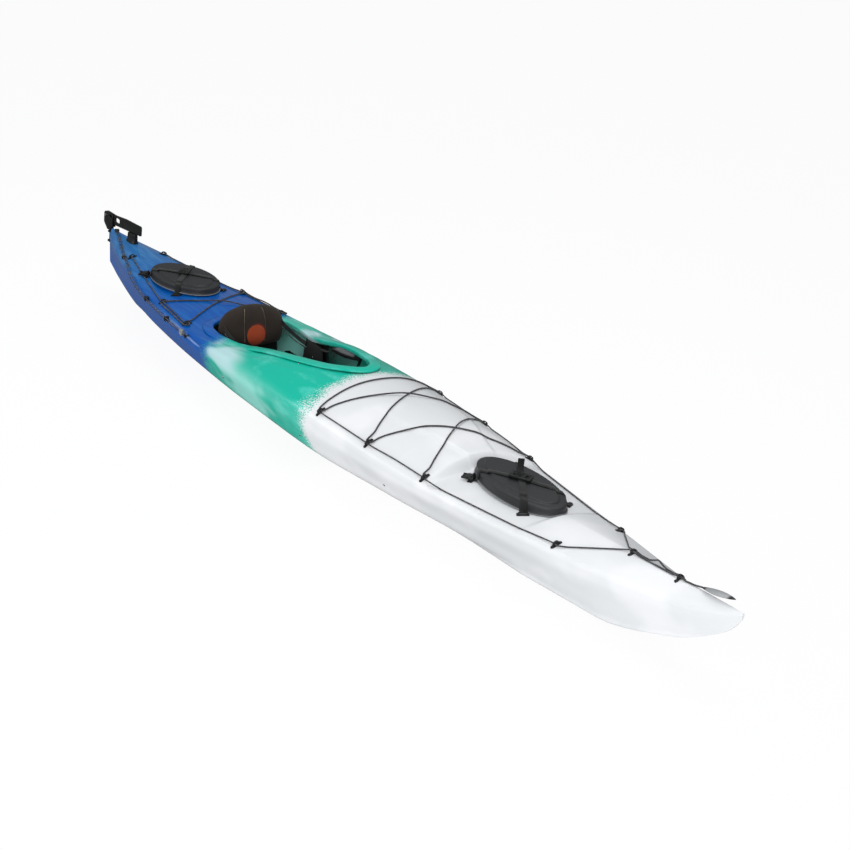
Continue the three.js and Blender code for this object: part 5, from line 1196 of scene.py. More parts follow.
eyeModel = buildEyeModel()
for deck, eyes in (("foredeck", foreEyes), ("aft_deck", aftEyes)):
    for i, eye in enumerate(eyes):
        placeEye(eyeModel, eye, f"{deck}_eye_port_{i + 1}")
        placeEye(eyeModel, mirrorEye(eye), f"{deck}_eye_starboard_{i + 1}")
placeEye(eyeModel, joinEye, "bow_join_eye")
placeEye(eyeModel, handleEye, "bow_handle_eye")
bpy.data.objects.remove(eyeModel)
print("stage: deck eyes")


def atEye(eye, along, aside, up=eyeTrim["centre"]):
    side = -1 if eye[1] < 0 else 1
    return eyeFrame(eye) @ Vector((along, side * aside, up))


def throughEye(eye, heading, aside):
    return [atEye(eye, heading * t * eyeTrim["through"], aside) for t in (-1, 0, 1)]


def onDeck(x, y, diameter, lift=0.0):
    return Vector((x, y, deckZ(x, y) + diameter / 2 + eyeTrim["lift"] + lift))


def runOver(start, stop, diameter, steps, hump=0.0):
    # over the deck from place to place, higher by the hump halfway, where it passes over another cord
    (x0, y0), (x1, y1) = start, stop
    run = []
    for i in range(steps):
        t = (i + 1) / (steps + 1)
        lift = hump * math.exp(-(((t - 0.5) / eyeTrim["humpWidth"]) ** 2))
        run.append(onDeck(x0 + (x1 - x0) * t, y0 + (y1 - y0) * t, diameter, lift))
    return run


def layCord(name, route, diameter, *nodes):
    settle(tubeAlong(name, catmull(route, 0.006), diameter / 2), "hull", "cord", cordBraid, *nodes)


bungee, line = eyeTrim["bungee"], eyeTrim["line"]
# where cords lie in an eye, aside from its middle: the bungee, the line, and the bungee turned round its outside
inside, lineAside, outboard = -0.0046, 0.0048, 0.019
crossing, pastEye = 0.0075, 0.014


def layLines(eyes, deck, pieceName, steps, ahead=()):
    # the perimeter lines of both sides, through their eyes and on to a last place ahead
    for name, side in (("port", 1), ("starboard", -1)):
        aside = side * lineAside
        places = [(x, side * y) for x, y in eyes]
        route = []
        for eye, after in zip(places, places[1:] + [*ahead, None]):
            route += throughEye(eye, 1, lineAside)
            if after:
                start, stop = (eye[0] + pastEye, eye[1] + aside), (after[0] - pastEye, after[1] + aside)
                route += runOver(start, stop, line, steps)
        if ahead:
            route.append(atEye(joinEye, -0.0156, aside))
        layCord(f"{pieceName}{name.title()}", route, line, f"{deck}_line_{name}")


def layForedeck():
    s1, s2, s3 = (mirrorEye(eye) for eye in foreEyes[:3])
    p1, p2, p3 = foreEyes[:3]
    layCord("foredeckShockCord", [
        *throughEye(s3, -1, inside), *runOver(s3, p2, bungee, 14, crossing), *throughEye(p2, -1, inside),
        *runOver(p2, s1, bungee, 14, crossing), *throughEye(s1, -1, inside),
        *runOver((s1[0] - 0.022, s1[1]), (p1[0] - 0.022, p1[1]), bungee, 15), *throughEye(p1, 1, inside),
        *runOver(p1, s2, bungee, 14), *throughEye(s2, 1, inside), *runOver(s2, p3, bungee, 14),
        *throughEye(p3, 1, inside),
    ], bungee, "foredeck_bungee")
    layLines(foreEyes, "foredeck", "foredeckLine", 7, [(joinEye[0] - 0.012, 0)])


def turnRound(eye, heading, rise=0.0):
    # reach beyond the eye, share of the way out, and height over the hole's middle
    marks = [(0.0192, 0.12, rise), (0.0252, 0.5, rise), (0.0192, 0.88, rise / 2), (0.0108, 1, 0)]
    return [atEye(eye, heading * reach, inside + (outboard - inside) * share, eyeTrim["centre"] + lift)
            for reach, share, lift in marks]


def outboardLink(start, stop):
    side = 1 if start[1] > 0 else -1
    return runOver((start[0], start[1] + side * outboard), (stop[0], stop[1] + side * outboard), bungee, 6, 0.004)


def layAftDeck():
    s2, s3 = (mirrorEye(eye) for eye in aftEyes[1:])
    p2, p3 = aftEyes[1:]
    layCord("aftShockCord", [
        *throughEye(s2, 1, inside), *runOver(s2, p3, bungee, 13, crossing), *throughEye(p3, 1, inside),
        *turnRound(p3, 1), *outboardLink(p3, p2), *turnRound(p2, -1, line + 0.002)[::-1],
        *throughEye(p2, 1, inside), *runOver(p2, s3, bungee, 13), *throughEye(s3, 1, inside), *turnRound(s3, 1),
        *outboardLink(s3, s2)[:5], atEye(s2, 0.012, outboard),
    ], bungee, "aft_bungee")
    layLines(aftEyes, "aft_deck", "aftLine", 8)


handle = {
    "length": 0.152, "width": 0.036, "thickness": 0.015, "pitch": 0.17, "aside": 0.005, "hump": 0.014, "cut": 0.012,
    "dark": "#1b1c1d", "light": ("#8e9092", "#a2a4a6"),
}
gripLow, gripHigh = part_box("bow_handle")
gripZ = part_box("bow_handle_cord")[1].z - bungee / 2 - 0.0004


def layBow():
    joinX, eyeX = joinEye[0], handleEye[0]
    aside = -handle["aside"]
    layCord("handleCord", [
        *throughEye(joinEye, 1, aside), *runOver((joinX + pastEye, aside), (eyeX - pastEye, aside), bungee, 8),
        *throughEye(handleEye, 1, aside), *runOver((eyeX + pastEye, aside), (gripLow.x - 0.02, 0), bungee, 4),
        Vector((gripLow.x + 0.0035, 0, gripZ)),
    ], bungee, "bow_handle_cord")
    layCord("bowShockCord", [
        *throughEye(joinEye, 1, -aside),
        *runOver((joinX + pastEye, -aside), (eyeX - pastEye, -aside), bungee, 9, handle["hump"]),
        *throughEye(handleEye, 1, -aside),
    ], bungee, "bow_bungee")


def buildGrip():
    # a lens-shaped toggle, cut off square at both ends
    cut, rings = handle["cut"], []
    for i in range(41):
        t = cut + (1 - 2 * cut) * i / 40
        swell = math.sin(math.pi * t) ** 0.75
        x = (t - cut) * handle["length"] - 0.0007
        wide, thick = handle["width"], handle["thickness"]
        rings.append([Vector((x, math.cos(a) * wide / 2 * swell, math.sin(a) * thick / 2 * swell)) for a in turns(32)])
    grip = loftRings("bowGrip", rings)
    start = Matrix.Translation((gripLow.x + 0.0008, 0, gripZ))
    grip.data.transform(start @ Matrix.Rotation(-handle["pitch"], 4, "Y"))
    return smoothBy(grip, 60)


def gripMaterial():
    # dark ends and a lighter web round the waist
    material, tree, shader = newMaterial("two-tone toggle nylon", 0.4)
    x = addNode(tree, "ShaderNodeSeparateXYZ", {0: objectPlace(tree)}).outputs["X"]
    fac = addNode(tree, "ShaderNodeMapRange", {"Value": x, "From Min": gripLow.x, "From Max": gripHigh.x}).outputs[0]
    dark, (lightAft, lightFore) = toLinear(handle["dark"]), (toLinear(colour) for colour in handle["light"])
    ramp = fillRamp(addNode(tree, "ShaderNodeValToRGB", {"Fac": fac}), [
        (0.0, dark), (0.13, dark), (0.2, lightAft), (0.8, lightFore), (0.87, dark),
    ])
    tree.links.new(ramp.outputs["Color"], shader.inputs["Base Color"])
    return material


layForedeck()
layAftDeck()
layBow()
settle(buildGrip(), "bow_grip", "grey_plastic", gripMaterial(), "bow_handle")
print("stage: cords and bow grip")

# Rudder

rudder = {
    "pinX": -2.1175, "pinHalf": 0.017, "yokeLow": 0.27615, "yokeHigh": 0.081, "yokeFore": -2.0785,
    "yokeAft": -2.1710, "yokeCorner": 0.014, "cheek": 0.005, "cheekAside": 0.0065, "pivot": (-2.1525, 0.34015),
    "boltRadius": 0.0043, "pinRadius": 0.0043, "blade": 0.006, "length": 0.273, "tipRadius": 0.009,
    "windowAt": 0.036, "bandAt": 0.085, "web": (0.030, 0.0092, 0.038), "lighten": (0.012, 0.006, 0.005),
    "window": (0.022, 0.011, 0.008), "collar": ((0.0245, 0.0135, 0.0095), (0.0221, 0.0111, 0.008), 0.0072),
    "band": (0.013, 0.0074),
}


def arc(centre, radius, start, stop, steps):
    # angles in half turns
    angles = (math.pi * (start + (stop - start) * k / steps) for k in range(steps + 1))
    return [(centre[0] + radius * math.cos(a), centre[1] + radius * math.sin(a)) for a in angles]


def standing(piece, y=0.0):
    # from drawn flat to upright along the boat
    piece.data.transform(Matrix.Translation((0, y, 0)) @ Matrix.Rotation(math.pi / 2, 4, "X"))
    return piece


def boltHole():
    return arc(rudder["pivot"], rudder["boltRadius"], 0, 2, 24)[:-1][::-1]


def buildYoke():
    low, fore, aft, pinX = rudder["yokeLow"], rudder["yokeFore"] - 0.005, rudder["yokeAft"], rudder["pinX"]
    pinAft, pinFore = pinX - rudder["pinHalf"], pinX + rudder["pinHalf"]
    high, corner = low + rudder["yokeHigh"], rudder["yokeCorner"]
    outline = [
        *arc((fore - corner, high - corner), corner, 0, 0.5, 8), *arc((aft + corner, high - corner), corner, 0.5, 1, 8),
        *arc((aft + corner, low + 0.034), corner, 1, 1.35, 6), (pinAft, low), (pinFore, low),
        (pinFore, low + 0.017), (fore, low + 0.022),
    ]
    lighten = roundOutline(*rudder["lighten"], centre=(pinFore, low + 0.070))[::-1]
    parts = []
    for y in (rudder["cheekAside"], -rudder["cheekAside"]):
        parts.append(standing(flatShape("yokeCheek", [outline, boltHole(), lighten], rudder["cheek"], 0.0012), y))
    web = roundBlock("yokeWeb", rudder["web"], (pinX, 0, low + 0.019), 0.001)
    cutAway(web, [roundBar("pinHole", (pinX, 0, low - 0.06), (pinX, 0, low + 0.060), rudder["pinRadius"], 0.0001)])
    return smoothBy(joinPieces("rudderYoke", parts + [web]), 35)


def bladeLower(x):
    # height of the blade's lower edge as it lies on the deck
    heel, tip = rudder["yokeFore"] + 0.008, rudder["yokeFore"] + rudder["length"]
    t = max(0, (x - heel) / (tip - heel))
    return rudder["pivot"][1] - 0.029 + 0.020 * t


def buildBlade():
    (px, pz), fore, pinX, pinHalf = rudder["pivot"], rudder["yokeFore"], rudder["pinX"], rudder["pinHalf"]
    tip, corner = fore + rudder["length"], rudder["tipRadius"]
    high, tipLow = pz + 0.037, pz - 0.009
    outline = [
        *arc((px, pz), 0.018, 0.55, 1.5, 16), (pinX - pinHalf, pz - 0.018),
        (pinX + pinHalf, rudder["yokeLow"] + 0.042), (fore + 0.008, pz - 0.029),
        (fore + 0.12, bladeLower(fore + 0.12)), (tip - corner, tipLow - 0.0003),
        *arc((tip - corner, tipLow + corner), corner, 1.55, 2, 6),
        *arc((tip - corner, high - corner), corner, 0, 0.5, 6),
        (tip + (px - tip) * 0.45, high - 0.006), (tip + (px - tip) * 0.72, high - 0.016),
    ]
    centre = (fore + rudder["windowAt"], pz)
    window = roundOutline(*rudder["window"], centre=centre)[::-1]
    blade = standing(flatShape("bladePlate", [outline, boltHole(), window], rudder["blade"], 0.0014))
    # a moulded collar round the window and a band over the blade's middle
    outer, inner, thick = rudder["collar"]
    outlines = [roundOutline(*outer, centre=centre), roundOutline(*inner, centre=centre)[::-1]]
    collar = standing(flatShape("bladeCollar", outlines, thick, 0.0005))
    bandX = fore + rudder["bandAt"]
    lowZ, highZ = bladeLower(bandX) + 0.0005, high - 0.011
    band = roundBlock("bladeBand", (*rudder["band"], highZ - lowZ), (bandX, 0, (lowZ + highZ) / 2), 0.0005)
    return smoothBy(joinPieces("rudderBlade", [blade, collar, band]), 35)


def buildRest():
    # a moulded chock, its top along the blade's lower edge
    low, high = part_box("rudder_rest")
    start, stop, steps = low.x - 0.018, high.x + 0.030, 12
    rings = []
    for i in range(steps + 1):
        x = start + (stop - start) * i / steps
        swell = 1 - 0.35 * abs(2 * i / steps - 1) ** 4
        top, foot = bladeLower(x) - 0.0006, deckZ(x, 0) - 0.004
        wide, narrow = 0.019 * swell, 0.0085 * swell
        half = [
            (narrow, top), (narrow + 0.0012, top - 0.0016), (narrow + 0.002, top - 0.012),
            (wide - 0.004, foot + 0.012), (wide, foot + 0.0062), (wide, foot),
        ]
        rings.append([Vector((x, y, z)) for y, z in half] + [Vector((x, -y, z)) for y, z in half[::-1]])
    return smoothBy(loftRings("bladeRest", rings), 40)


settle(buildRest(), "hull", "black_plastic", fittingNylon, "rudder_rest")
settle(buildYoke(), "yoke", "black_plastic", fittingNylon, "rudder_yoke")
settle(buildBlade(), "blade", "black_plastic", fittingNylon, "rudder_blade")
print("stage: rudder")

# Rudder lift line, its guides and post, and the toggle on it

lift = {
    "pitch": 0.010, "inset": 0.013, "offset": 0.009, "drop": 0.014, "rise": 0.005, "line": 0.004,
    "guide": (0.019, 0.021, 0.004), "fourthShare": -0.012, "post": 0.0027, "postHead": 0.009,
    "toggle": (0.0128, 0.0128, 0.0065), "toggleDepth": 0.0108, "rib": (0.0022, 0.019, 0.0014),
}
# the line's way as shares of the hull, from the stern over the deck's edge and along the side
liftShares = [
    -0.9808, -0.9555, -0.8993, -0.8525, -0.8337, -0.8056, -0.7775, -0.7494, -0.7213, -0.6932, -0.665, -0.637,
    -0.5761, -0.515,
]
sternGuideX, deckGuideX, postX, sideStartX, sideGuideX, straightX = (
    atShare(s) for s in (-0.978, -0.843, -0.412, -0.665, -0.637, -0.515))


def liftMiddle(x):
    # the middle between both runs, and how far they have turned from lying on the deck to lying on the side
    edge = breadthAt(x)
    turned = smoothStep(deckGuideX, sideStartX, x)
    start = breadthAt(deckGuideX) - lift["inset"]
    if x < deckGuideX:
        aside = start * max(0, (x - sternGuideX) / (deckGuideX - sternGuideX))
    else:
        aside = edge - lift["inset"] + (lift["offset"] + lift["inset"]) * min(1, 2 * turned)
    top = deckHeight(x, min(aside, edge - 0.0003)) + lift["rise"]
    side = sheerHeightAt(x) - lift["drop"]
    return Vector((x, -aside, top + (side - top) * max(0, 2 * turned - 1))), turned


def liftPlace(x, low):
    middle, turned = liftMiddle(x)
    off = (low - 0.5) * lift["pitch"]
    angle = turned * math.pi / 2
    return middle + Vector((0, -off * math.cos(angle), -off * math.sin(angle)))


def layLiftLine():
    def straight(low, t):
        return liftPlace(straightX, low).lerp(liftPlace(postX, low), t)

    def run(low):
        return [liftPlace(atShare(s), low) for s in liftShares] + [straight(low, 0.5), straight(low, 1)]

    centre = (straight(0, 1) + straight(1, 1)) / 2
    angles = (math.pi / 4, 0, -math.pi / 4)
    turn = [centre + Vector((math.cos(a), 0, math.sin(a))) * lift["pitch"] / 2 for a in angles]
    layCord("liftLine", run(0) + turn + run(1)[::-1], lift["line"], "rudder_lift_line")


def buildGuides():
    length, width, cover = lift["guide"]
    upright = Matrix.Rotation(math.pi / 2, 4, "X")
    parts = []
    for x in (sternGuideX, deckGuideX, sideGuideX):
        middle, turned = liftMiddle(x)
        ahead, _ = liftMiddle(x + length)
        heading = Matrix.Rotation(math.atan2(ahead.y - middle.y, length), 4, "Z")
        sink = 0.013 if turned > 0.5 else lift["rise"] + 0.004
        block = roundBlock("lineGuide", (length, width, sink + cover), (0, 0, (cover - sink) / 2), 0.0028, 4)
        block.data.transform(Matrix.Translation(middle) @ heading @ Matrix.Rotation(turned * math.pi / 2, 4, "X"))
        parts.append(block)
    start, stop = liftMiddle(straightX)[0], liftMiddle(postX)[0]
    block = roundBlock("lineGuide", (length * 0.8, width, 0.024), (0, 0, -0.008), 0.0028, 4)
    block.data.transform(Matrix.Translation(start.lerp(stop, lift["fourthShare"])) @ upright)
    parts.append(block)
    face = stop.y - lift["line"] / 2 - 0.0003
    ends = [(postX, y, stop.z) for y in (stop.y + 0.016, face - 0.002, face, face - 0.003)]
    parts.append(roundBar("linePost", ends[0], ends[1], lift["post"]))
    parts.append(roundBar("linePostHead", ends[2], ends[3], lift["postHead"], 0.001))
    return smoothBy(joinPieces("liftGuides", parts), 35)


def buildToggle():
    low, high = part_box("lift_line_toggle")
    centre = (Vector(low) + Vector(high)) / 2
    heading = math.atan2(liftMiddle(postX)[0].y - liftMiddle(straightX)[0].y, postX - straightX)
    body = flatShape("liftToggle", [roundOutline(*lift["toggle"])], lift["toggleDepth"], 0.0022)
    ribs = [roundBlock("toggleRib", lift["rib"], (x, 0, 0.0054), 0.0006) for x in (-0.006, 0, 0.006)]
    toggle = joinPieces("liftToggle", [body] + ribs)
    place = Matrix.Translation(centre) @ Matrix.Rotation(heading, 4, "Z")
    toggle.data.transform(place @ Matrix.Rotation(math.pi / 2, 4, "X"))
    return smoothBy(toggle, 35)


layLiftLine()
settle(buildGuides(), "hull", "black_plastic", fittingNylon)
settle(buildToggle(), "toggle", "grey_plastic", greyNylon, "lift_line_toggle")
print("stage: lift line")

# Seat back and cushion

seat = {
    "hinge": (-0.77245, 0, 0.10915), "lean": 0.21, "aft": -0.7855, "length": 0.425, "halfWidth": 0.178,
    "cushionX": -0.5605, "seam": 0.0011, "knuckleAt": 0.108,
}
backPad = {
    "halfWidth": 0.153, "low": 0.045, "high": 0.224, "thickness": 0.052, "stand": 0.0028, "rim": 0.10,
    "channels": (0.33, -0.33), "channelWidth": 0.035, "channelDepth": 0.13,
}
cushionPad = {
    "halfLength": 0.165, "halfWidth": 0.140, "thickness": 0.026, "stand": 0.001, "rim": 0.14,
    "channels": (0.34, -0.34), "channelWidth": 0.045, "channelDepth": 0.2,
}
backPlate = {"halfWidth": 0.128, "middle": 0.105, "halfHeight": 0.101}
# the patch on the seat's back, edge first: its middle across and up, radius, height over the cloth
patches = {"patchEdge": (0.006, 0.101, 0.048, 0.0006), "orangeDisc": (0.002, 0.098, 0.044, 0.0018)}
panReader = smoothColumn([(0, 0.146), (0.1, 0.123), (0.45, 0.12), (0.8, 0.146), (1, 0.18)], 1)


def crownOf(u, v):
    # how far a stuffed form stands out: 1 in the middle, 0 at the rim
    return max(0, (1 - abs(u) ** 3.2) * (1 - abs(v) ** 3.2)) ** 0.45


def channel(u, at, width):
    return math.exp(-(((u - at) / width) ** 2))


def grooved(pad, u, crown):
    # what the sewn channels leave of the pad's thickness
    grooves = sum(channel(u, at, pad["channelWidth"]) for at in pad["channels"])
    return 1 - pad["channelDepth"] * grooves * crown


def stuffedForm(name, stepsU, stepsV, place):
    # front and back of a closed pad on one grid; place gives the point for u, v in -1..1 and a side
    grid = {}
    points, faces = [], []

    def index(i, k, front):
        edge = i in (0, stepsU) or k in (0, stepsV)
        key = (i, k, True if edge else front)
        if key not in grid:
            # samples gather towards the rim, where the form turns quickest
            u, v = math.sin((i / stepsU - 0.5) * math.pi), math.sin((k / stepsV - 0.5) * math.pi)
            grid[key] = len(points)
            points.append(place(u, v, key[2]))
        return grid[key]

    for i in range(stepsU):
        for k in range(stepsV):
            for front in (True, False):
                quad = [index(*corner, front) for corner in ((i, k), (i + 1, k), (i + 1, k + 1), (i, k + 1))]
                faces.append(tuple(quad if front else quad[::-1]))
    return smoothBy(meshPiece(name, points, faces), 60)


def rounded(u, v, much):
    return u * math.sqrt(1 - much * v * v / 2), v * math.sqrt(1 - much * u * u / 2)


backFrame = Matrix.Translation(seat["hinge"]) @ Matrix.Rotation(-seat["lean"], 4, "Y")
backTurn = backFrame.to_3x3()


def backPoint(u, v, front):
    halfHeight = (backPad["high"] - backPad["low"]) / 2
    ru, rv = rounded(u, v, 0.72 + 0.2 * v)
    y = ru * backPad["halfWidth"] * (1 - 0.03 * v)
    z = rv * halfHeight + backPad["low"] + halfHeight
    crown, rim = crownOf(u, v), backPad["rim"]
    if front:
        puff = 0.94 + 0.06 * math.cos(math.pi * u * 3.2) * (1 - abs(u))
        depth = backPad["thickness"] * (rim + (1 - rim) * crown * puff) * grooved(backPad, u, crown)
    else:
        depth = backPad["thickness"] * rim * (1 - crown)
    return backFrame @ Vector((backPad["stand"] + depth, y, z))


def panTop(x, y):
    # the pan's seat, rising a little at both sides
    flat, turn = seat["halfWidth"] * 0.58, seat["halfWidth"] * 0.83
    rise = (y - flat) / (turn - flat) * 0.010 if y > flat else 0
    return panReader(min(1, max(0, (x - seat["aft"]) / seat["length"]))) * hull["depth"] + rise


def cushionPoint(u, v, front):
    ru, rv = rounded(u, v, 0.35)
    x = seat["cushionX"] + ru * cushionPad["halfLength"]
    y = rv * cushionPad["halfWidth"] * (1 - 0.1 * u * u - 0.04 * u)
    crown, rim = crownOf(u, v), cushionPad["rim"]
    if front:
        depth = cushionPad["thickness"] * (rim + (1 - rim) * crown) * grooved(cushionPad, v, crown)
    else:
        depth = cushionPad["thickness"] * rim * (1 - crown)
    return Vector((x, y, panTop(x, abs(y)) + cushionPad["stand"] + depth))


def layBackSeams():
    # light seams in both channels of the back
    raised = backTurn @ Vector((0.0003, 0, 0))
    seams = []
    for at in backPad["channels"]:
        spots = [backPoint(at, v / 20, True) + raised for v in range(-15, 18)]
        seams.append(tubeAlong("backSeam", catmull(spots, 0.003), seat["seam"], 8))
    settle(joinPieces("seatSeams", seams), "back_rest", "seat_cloth", seatSeam)


def layCushionSeams():
    seams = []
    for at in cushionPad["channels"]:
        spots = [cushionPoint(u / 20, at, True) + Vector((0, 0, 0.0003)) for u in range(-17, 18)]
        seams.append(tubeAlong("cushionSeam", catmull(spots, 0.003), 0.0010, 8))
    settle(joinPieces("cushionSeams", seams), "hull", "seat_cloth", seatSeam)


def patchOn(tree, name, material):
    # a disc of cloth laid on the front of the seat's back
    centreY, centreZ, radius, stand = patches[name]
    rings, around = 14, 48
    toward = backTurn @ Vector((-1, 0, 0))

    def hit(y, z):
        start = backFrame @ Vector((0.2, y, z))
        spot, _, _, _ = tree.ray_cast(start, toward)
        return (spot if spot else start) - toward * stand

    points = [hit(centreY, centreZ)]
    for i in range(1, rings + 1):
        r = radius * i / rings
        points += [hit(centreY + r * math.cos(a), centreZ + r * math.sin(a)) for a in turns(around)]
    faces = [(0, 1 + k, 1 + (k + 1) % around) for k in range(around)]
    for i in range(rings - 1):
        a, b = 1 + i * around, 1 + (i + 1) * around
        faces += [(a + k, b + k, b + (k + 1) % around, a + (k + 1) % around) for k in range(around)]
    piece = meshPiece(name, points, faces)
    addModifier(piece, "SOLIDIFY", thickness=0.0008, offset=0)
    applyModifiers(piece)
    settle(smoothBy(piece, 40), "back_rest", "seat_cloth", material)


def backPlatePoint(u, v, front):
    ru, rv = rounded(u, v, 0.62 + 0.3 * v)
    y, z = ru * backPlate["halfWidth"] * (1 - 0.10 * v), backPlate["middle"] + rv * backPlate["halfHeight"]
    edge = max(abs(u), abs(v)) ** 8
    return backFrame @ Vector((-0.0004 if front else -0.0064 + 0.0028 * edge, y, z))


def buildBackPlate():
    # the moulded plate behind the pad, down to its hinge on the pan
    plate = stuffedForm("seatBackPlate", 40, 32, backPlatePoint)
    sides = (seat["knuckleAt"], -seat["knuckleAt"])
    knuckles = [roundBar("backKnuckle", (0, y - 0.014, 0), (0, y + 0.014, 0), 0.0085, 0.0012) for y in sides]
    knuckles += [roundBlock("backArm", (0.006, 0.022, 0.030), (-0.003, y, 0.012), 0.0015) for y in sides]
    for knuckle in knuckles:
        knuckle.data.transform(backFrame)
    return smoothBy(joinPieces("seatBackPlate", [plate] + knuckles), 40)


settle(buildBackPlate(), "back_rest", "black_plastic", fittingNylon, "seat_back_frame")
seatBack = stuffedForm("seatBackPad", 72, 48, backPoint)
backTree = finderOf(seatBack)
settle(seatBack, "back_rest", "seat_cloth", seatCloth, "seat_back")
layBackSeams()
patchOn(backTree, "patchEdge", maroonCloth)
patchOn(backTree, "orangeDisc", orangePatch)
cushion = stuffedForm("seatCushionPad", 48, 64, cushionPoint)
settle(cushion, "hull", "seat_cloth", seatCloth, "seat_cushion")
layCushionSeams()
print("stage: seat")

# Hip pads, thigh braces, and the straps between them and the seat's back

braceTrim = {
    "ribPitch": 0.0125, "ribHeight": 0.0042, "padLift": 0.0016, "frameRadius": 0.0036, "inner": 0.1085,
    "endInner": 0.130, "outer": 0.1335, "aft": 0.022, "fore": 0.034, "strapWidth": 0.016, "strapThickness": 0.0016,
    "buckle": (0.015, 0.013, 0.004), "slots": ((0.004, 0.0095, 0.002, -0.006), (0.003, 0.0095, 0.0015, 0.007)),
}
hipTrim = {
    "screw": 0.0042, "screws": ((0.012, 0.004), (-0.045, 0.030)), "strapWidth": 0.020, "strapThickness": 0.0018,
    "strapSag": 0.012, "cord": 0.0022, "seatAside": 0.136, "seatStrapWidth": 0.019,
}
topTab = {"size": (0.010, 0.020, 0.014), "place": (0.012, 0.104, 0.190), "edge": 0.003}


def sideName(side):
    return "port" if side > 0 else "starboard"


def buildHipPad(side):
    name = f"hip_pad_{sideName(side)}"
    low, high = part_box(name)
    middle, half = (Vector(low) + Vector(high)) / 2, (Vector(high) - Vector(low)) / 2
    outer, thick = middle.y + side * half.y, 2 * half.y

    def place(u, v, front):
        ru, rv = rounded(u, v, 0.35)
        swell = crownOf(u, v) * (1 - 0.10 * channel(v, -0.15, 0.10))
        depth = thick * (0.34 + 0.64 * swell) if front else thick * 0.30 * (1 - crownOf(u, v))
        return Vector((middle.x + ru * half.x * (1 - 0.10 * v), outer - side * depth, middle.z + rv * half.z))

    pad = stuffedForm("hipPad", 40, 32, place)
    settle(pad, "hull", "foam", paddingFoam, name)
    face = middle.y - side * half.y
    screws = []
    for x, z in hipTrim["screws"]:
        inward, outward = ((middle.x + x, face + side * off, middle.z + z) for off in (0.004, -0.0006))
        screws.append(roundBar("hipScrew", inward, outward, hipTrim["screw"], 0.0008, 24))
    settle(smoothBy(joinPieces(f"hipScrews_{sideName(side)}", screws), 35), "hull", "steel", brightSteel)


def buildBrace(side):
    # a ribbed grey pad on the brace's wing, in a black frame, with the strap's ladder buckle at its fore end
    trim, name = braceTrim, f"thigh_brace_{sideName(side)}"
    brace = finderOf(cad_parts[name])
    low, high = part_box(name)
    start, stop = low.x + trim["aft"], high.x - trim["fore"]
    steps, across = 96, 6

    def topOf(x, y):
        spot, _, _, _ = brace.ray_cast(Vector((x, side * y, 1)), Vector((0, 0, -1)))
        return spot.z

    rings = []
    for i in range(steps + 1):
        x = start + (stop - start) * i / steps
        draw = 1 - 0.5 * abs(2 * (x - low.x) / (high.x - low.x) - 1) ** 2
        edge = trim["endInner"] + (trim["inner"] - trim["endInner"]) * draw
        rib = abs(math.sin(math.pi * (x - start) / trim["ribPitch"])) ** 0.6 * trim["ribHeight"]
        row = [edge + (trim["outer"] - edge) * k / across for k in range(across + 1)]
        tops = [topOf(x, y) for y in row]
        ends = min(1, 8 * min(i, steps - i) / steps)
        upper = [Vector((x, side * y, z + trim["padLift"] + rib * ends * (1 - abs(2 * k / across - 1) ** 6)))
                 for k, (y, z) in enumerate(zip(row, tops))]
        rings.append(upper + [Vector((x, side * y, z + 0.0004)) for y, z in zip(row, tops)][::-1])
    settle(smoothBy(loftRings("bracePad", rings), 50), "hull", "grey_plastic", ribbedFoam)

    inner, outer = ([ring[k] - Vector((0, side * off, 0.0012)) for ring in rings[::2]]
                    for k, off in ((0, 0.0022), (across, -0.0022)))
    loop = inner + outer[::-1] + inner[:1]
    around = tubeAlong("braceFrame", catmull(loop, 0.004), trim["frameRadius"], 10)
    foreX = high.x - 0.016
    z = topOf(foreX, 0.128)
    outlines = [roundOutline(*trim["buckle"])]
    outlines += [roundOutline(u, v, radius, centre=(at, 0))[::-1] for u, v, radius, at in trim["slots"]]
    buckle = flatShape("braceBuckle", outlines, 0.0045, 0.001)
    buckle.data.transform(Matrix.Translation((foreX, side * 0.126, z + 0.0052)) @ Matrix.Rotation(side * 0.3, 4, "X"))
    # the strap's tail over the fore end: along, aside and up from the buckle
    ends = [(-0.004, 0.128, 0.0085), (0.012, 0.124, 0.0075), (0.022, 0.118, -0.006), (0.020, 0.115, -0.026),
            (0.010, 0.114, -0.040)]
    route = catmull([(foreX + along, side * aside, z + up) for along, aside, up in ends], 0.004)
    tail = bandAlong("braceTail", route, trim["strapWidth"], trim["strapThickness"], (0, 1, 0.2))
    fittings = joinPieces(f"braceFittings_{sideName(side)}", [around, buckle, tail])
    settle(smoothBy(fittings, 40), "hull", "black_plastic", fittingNylon)


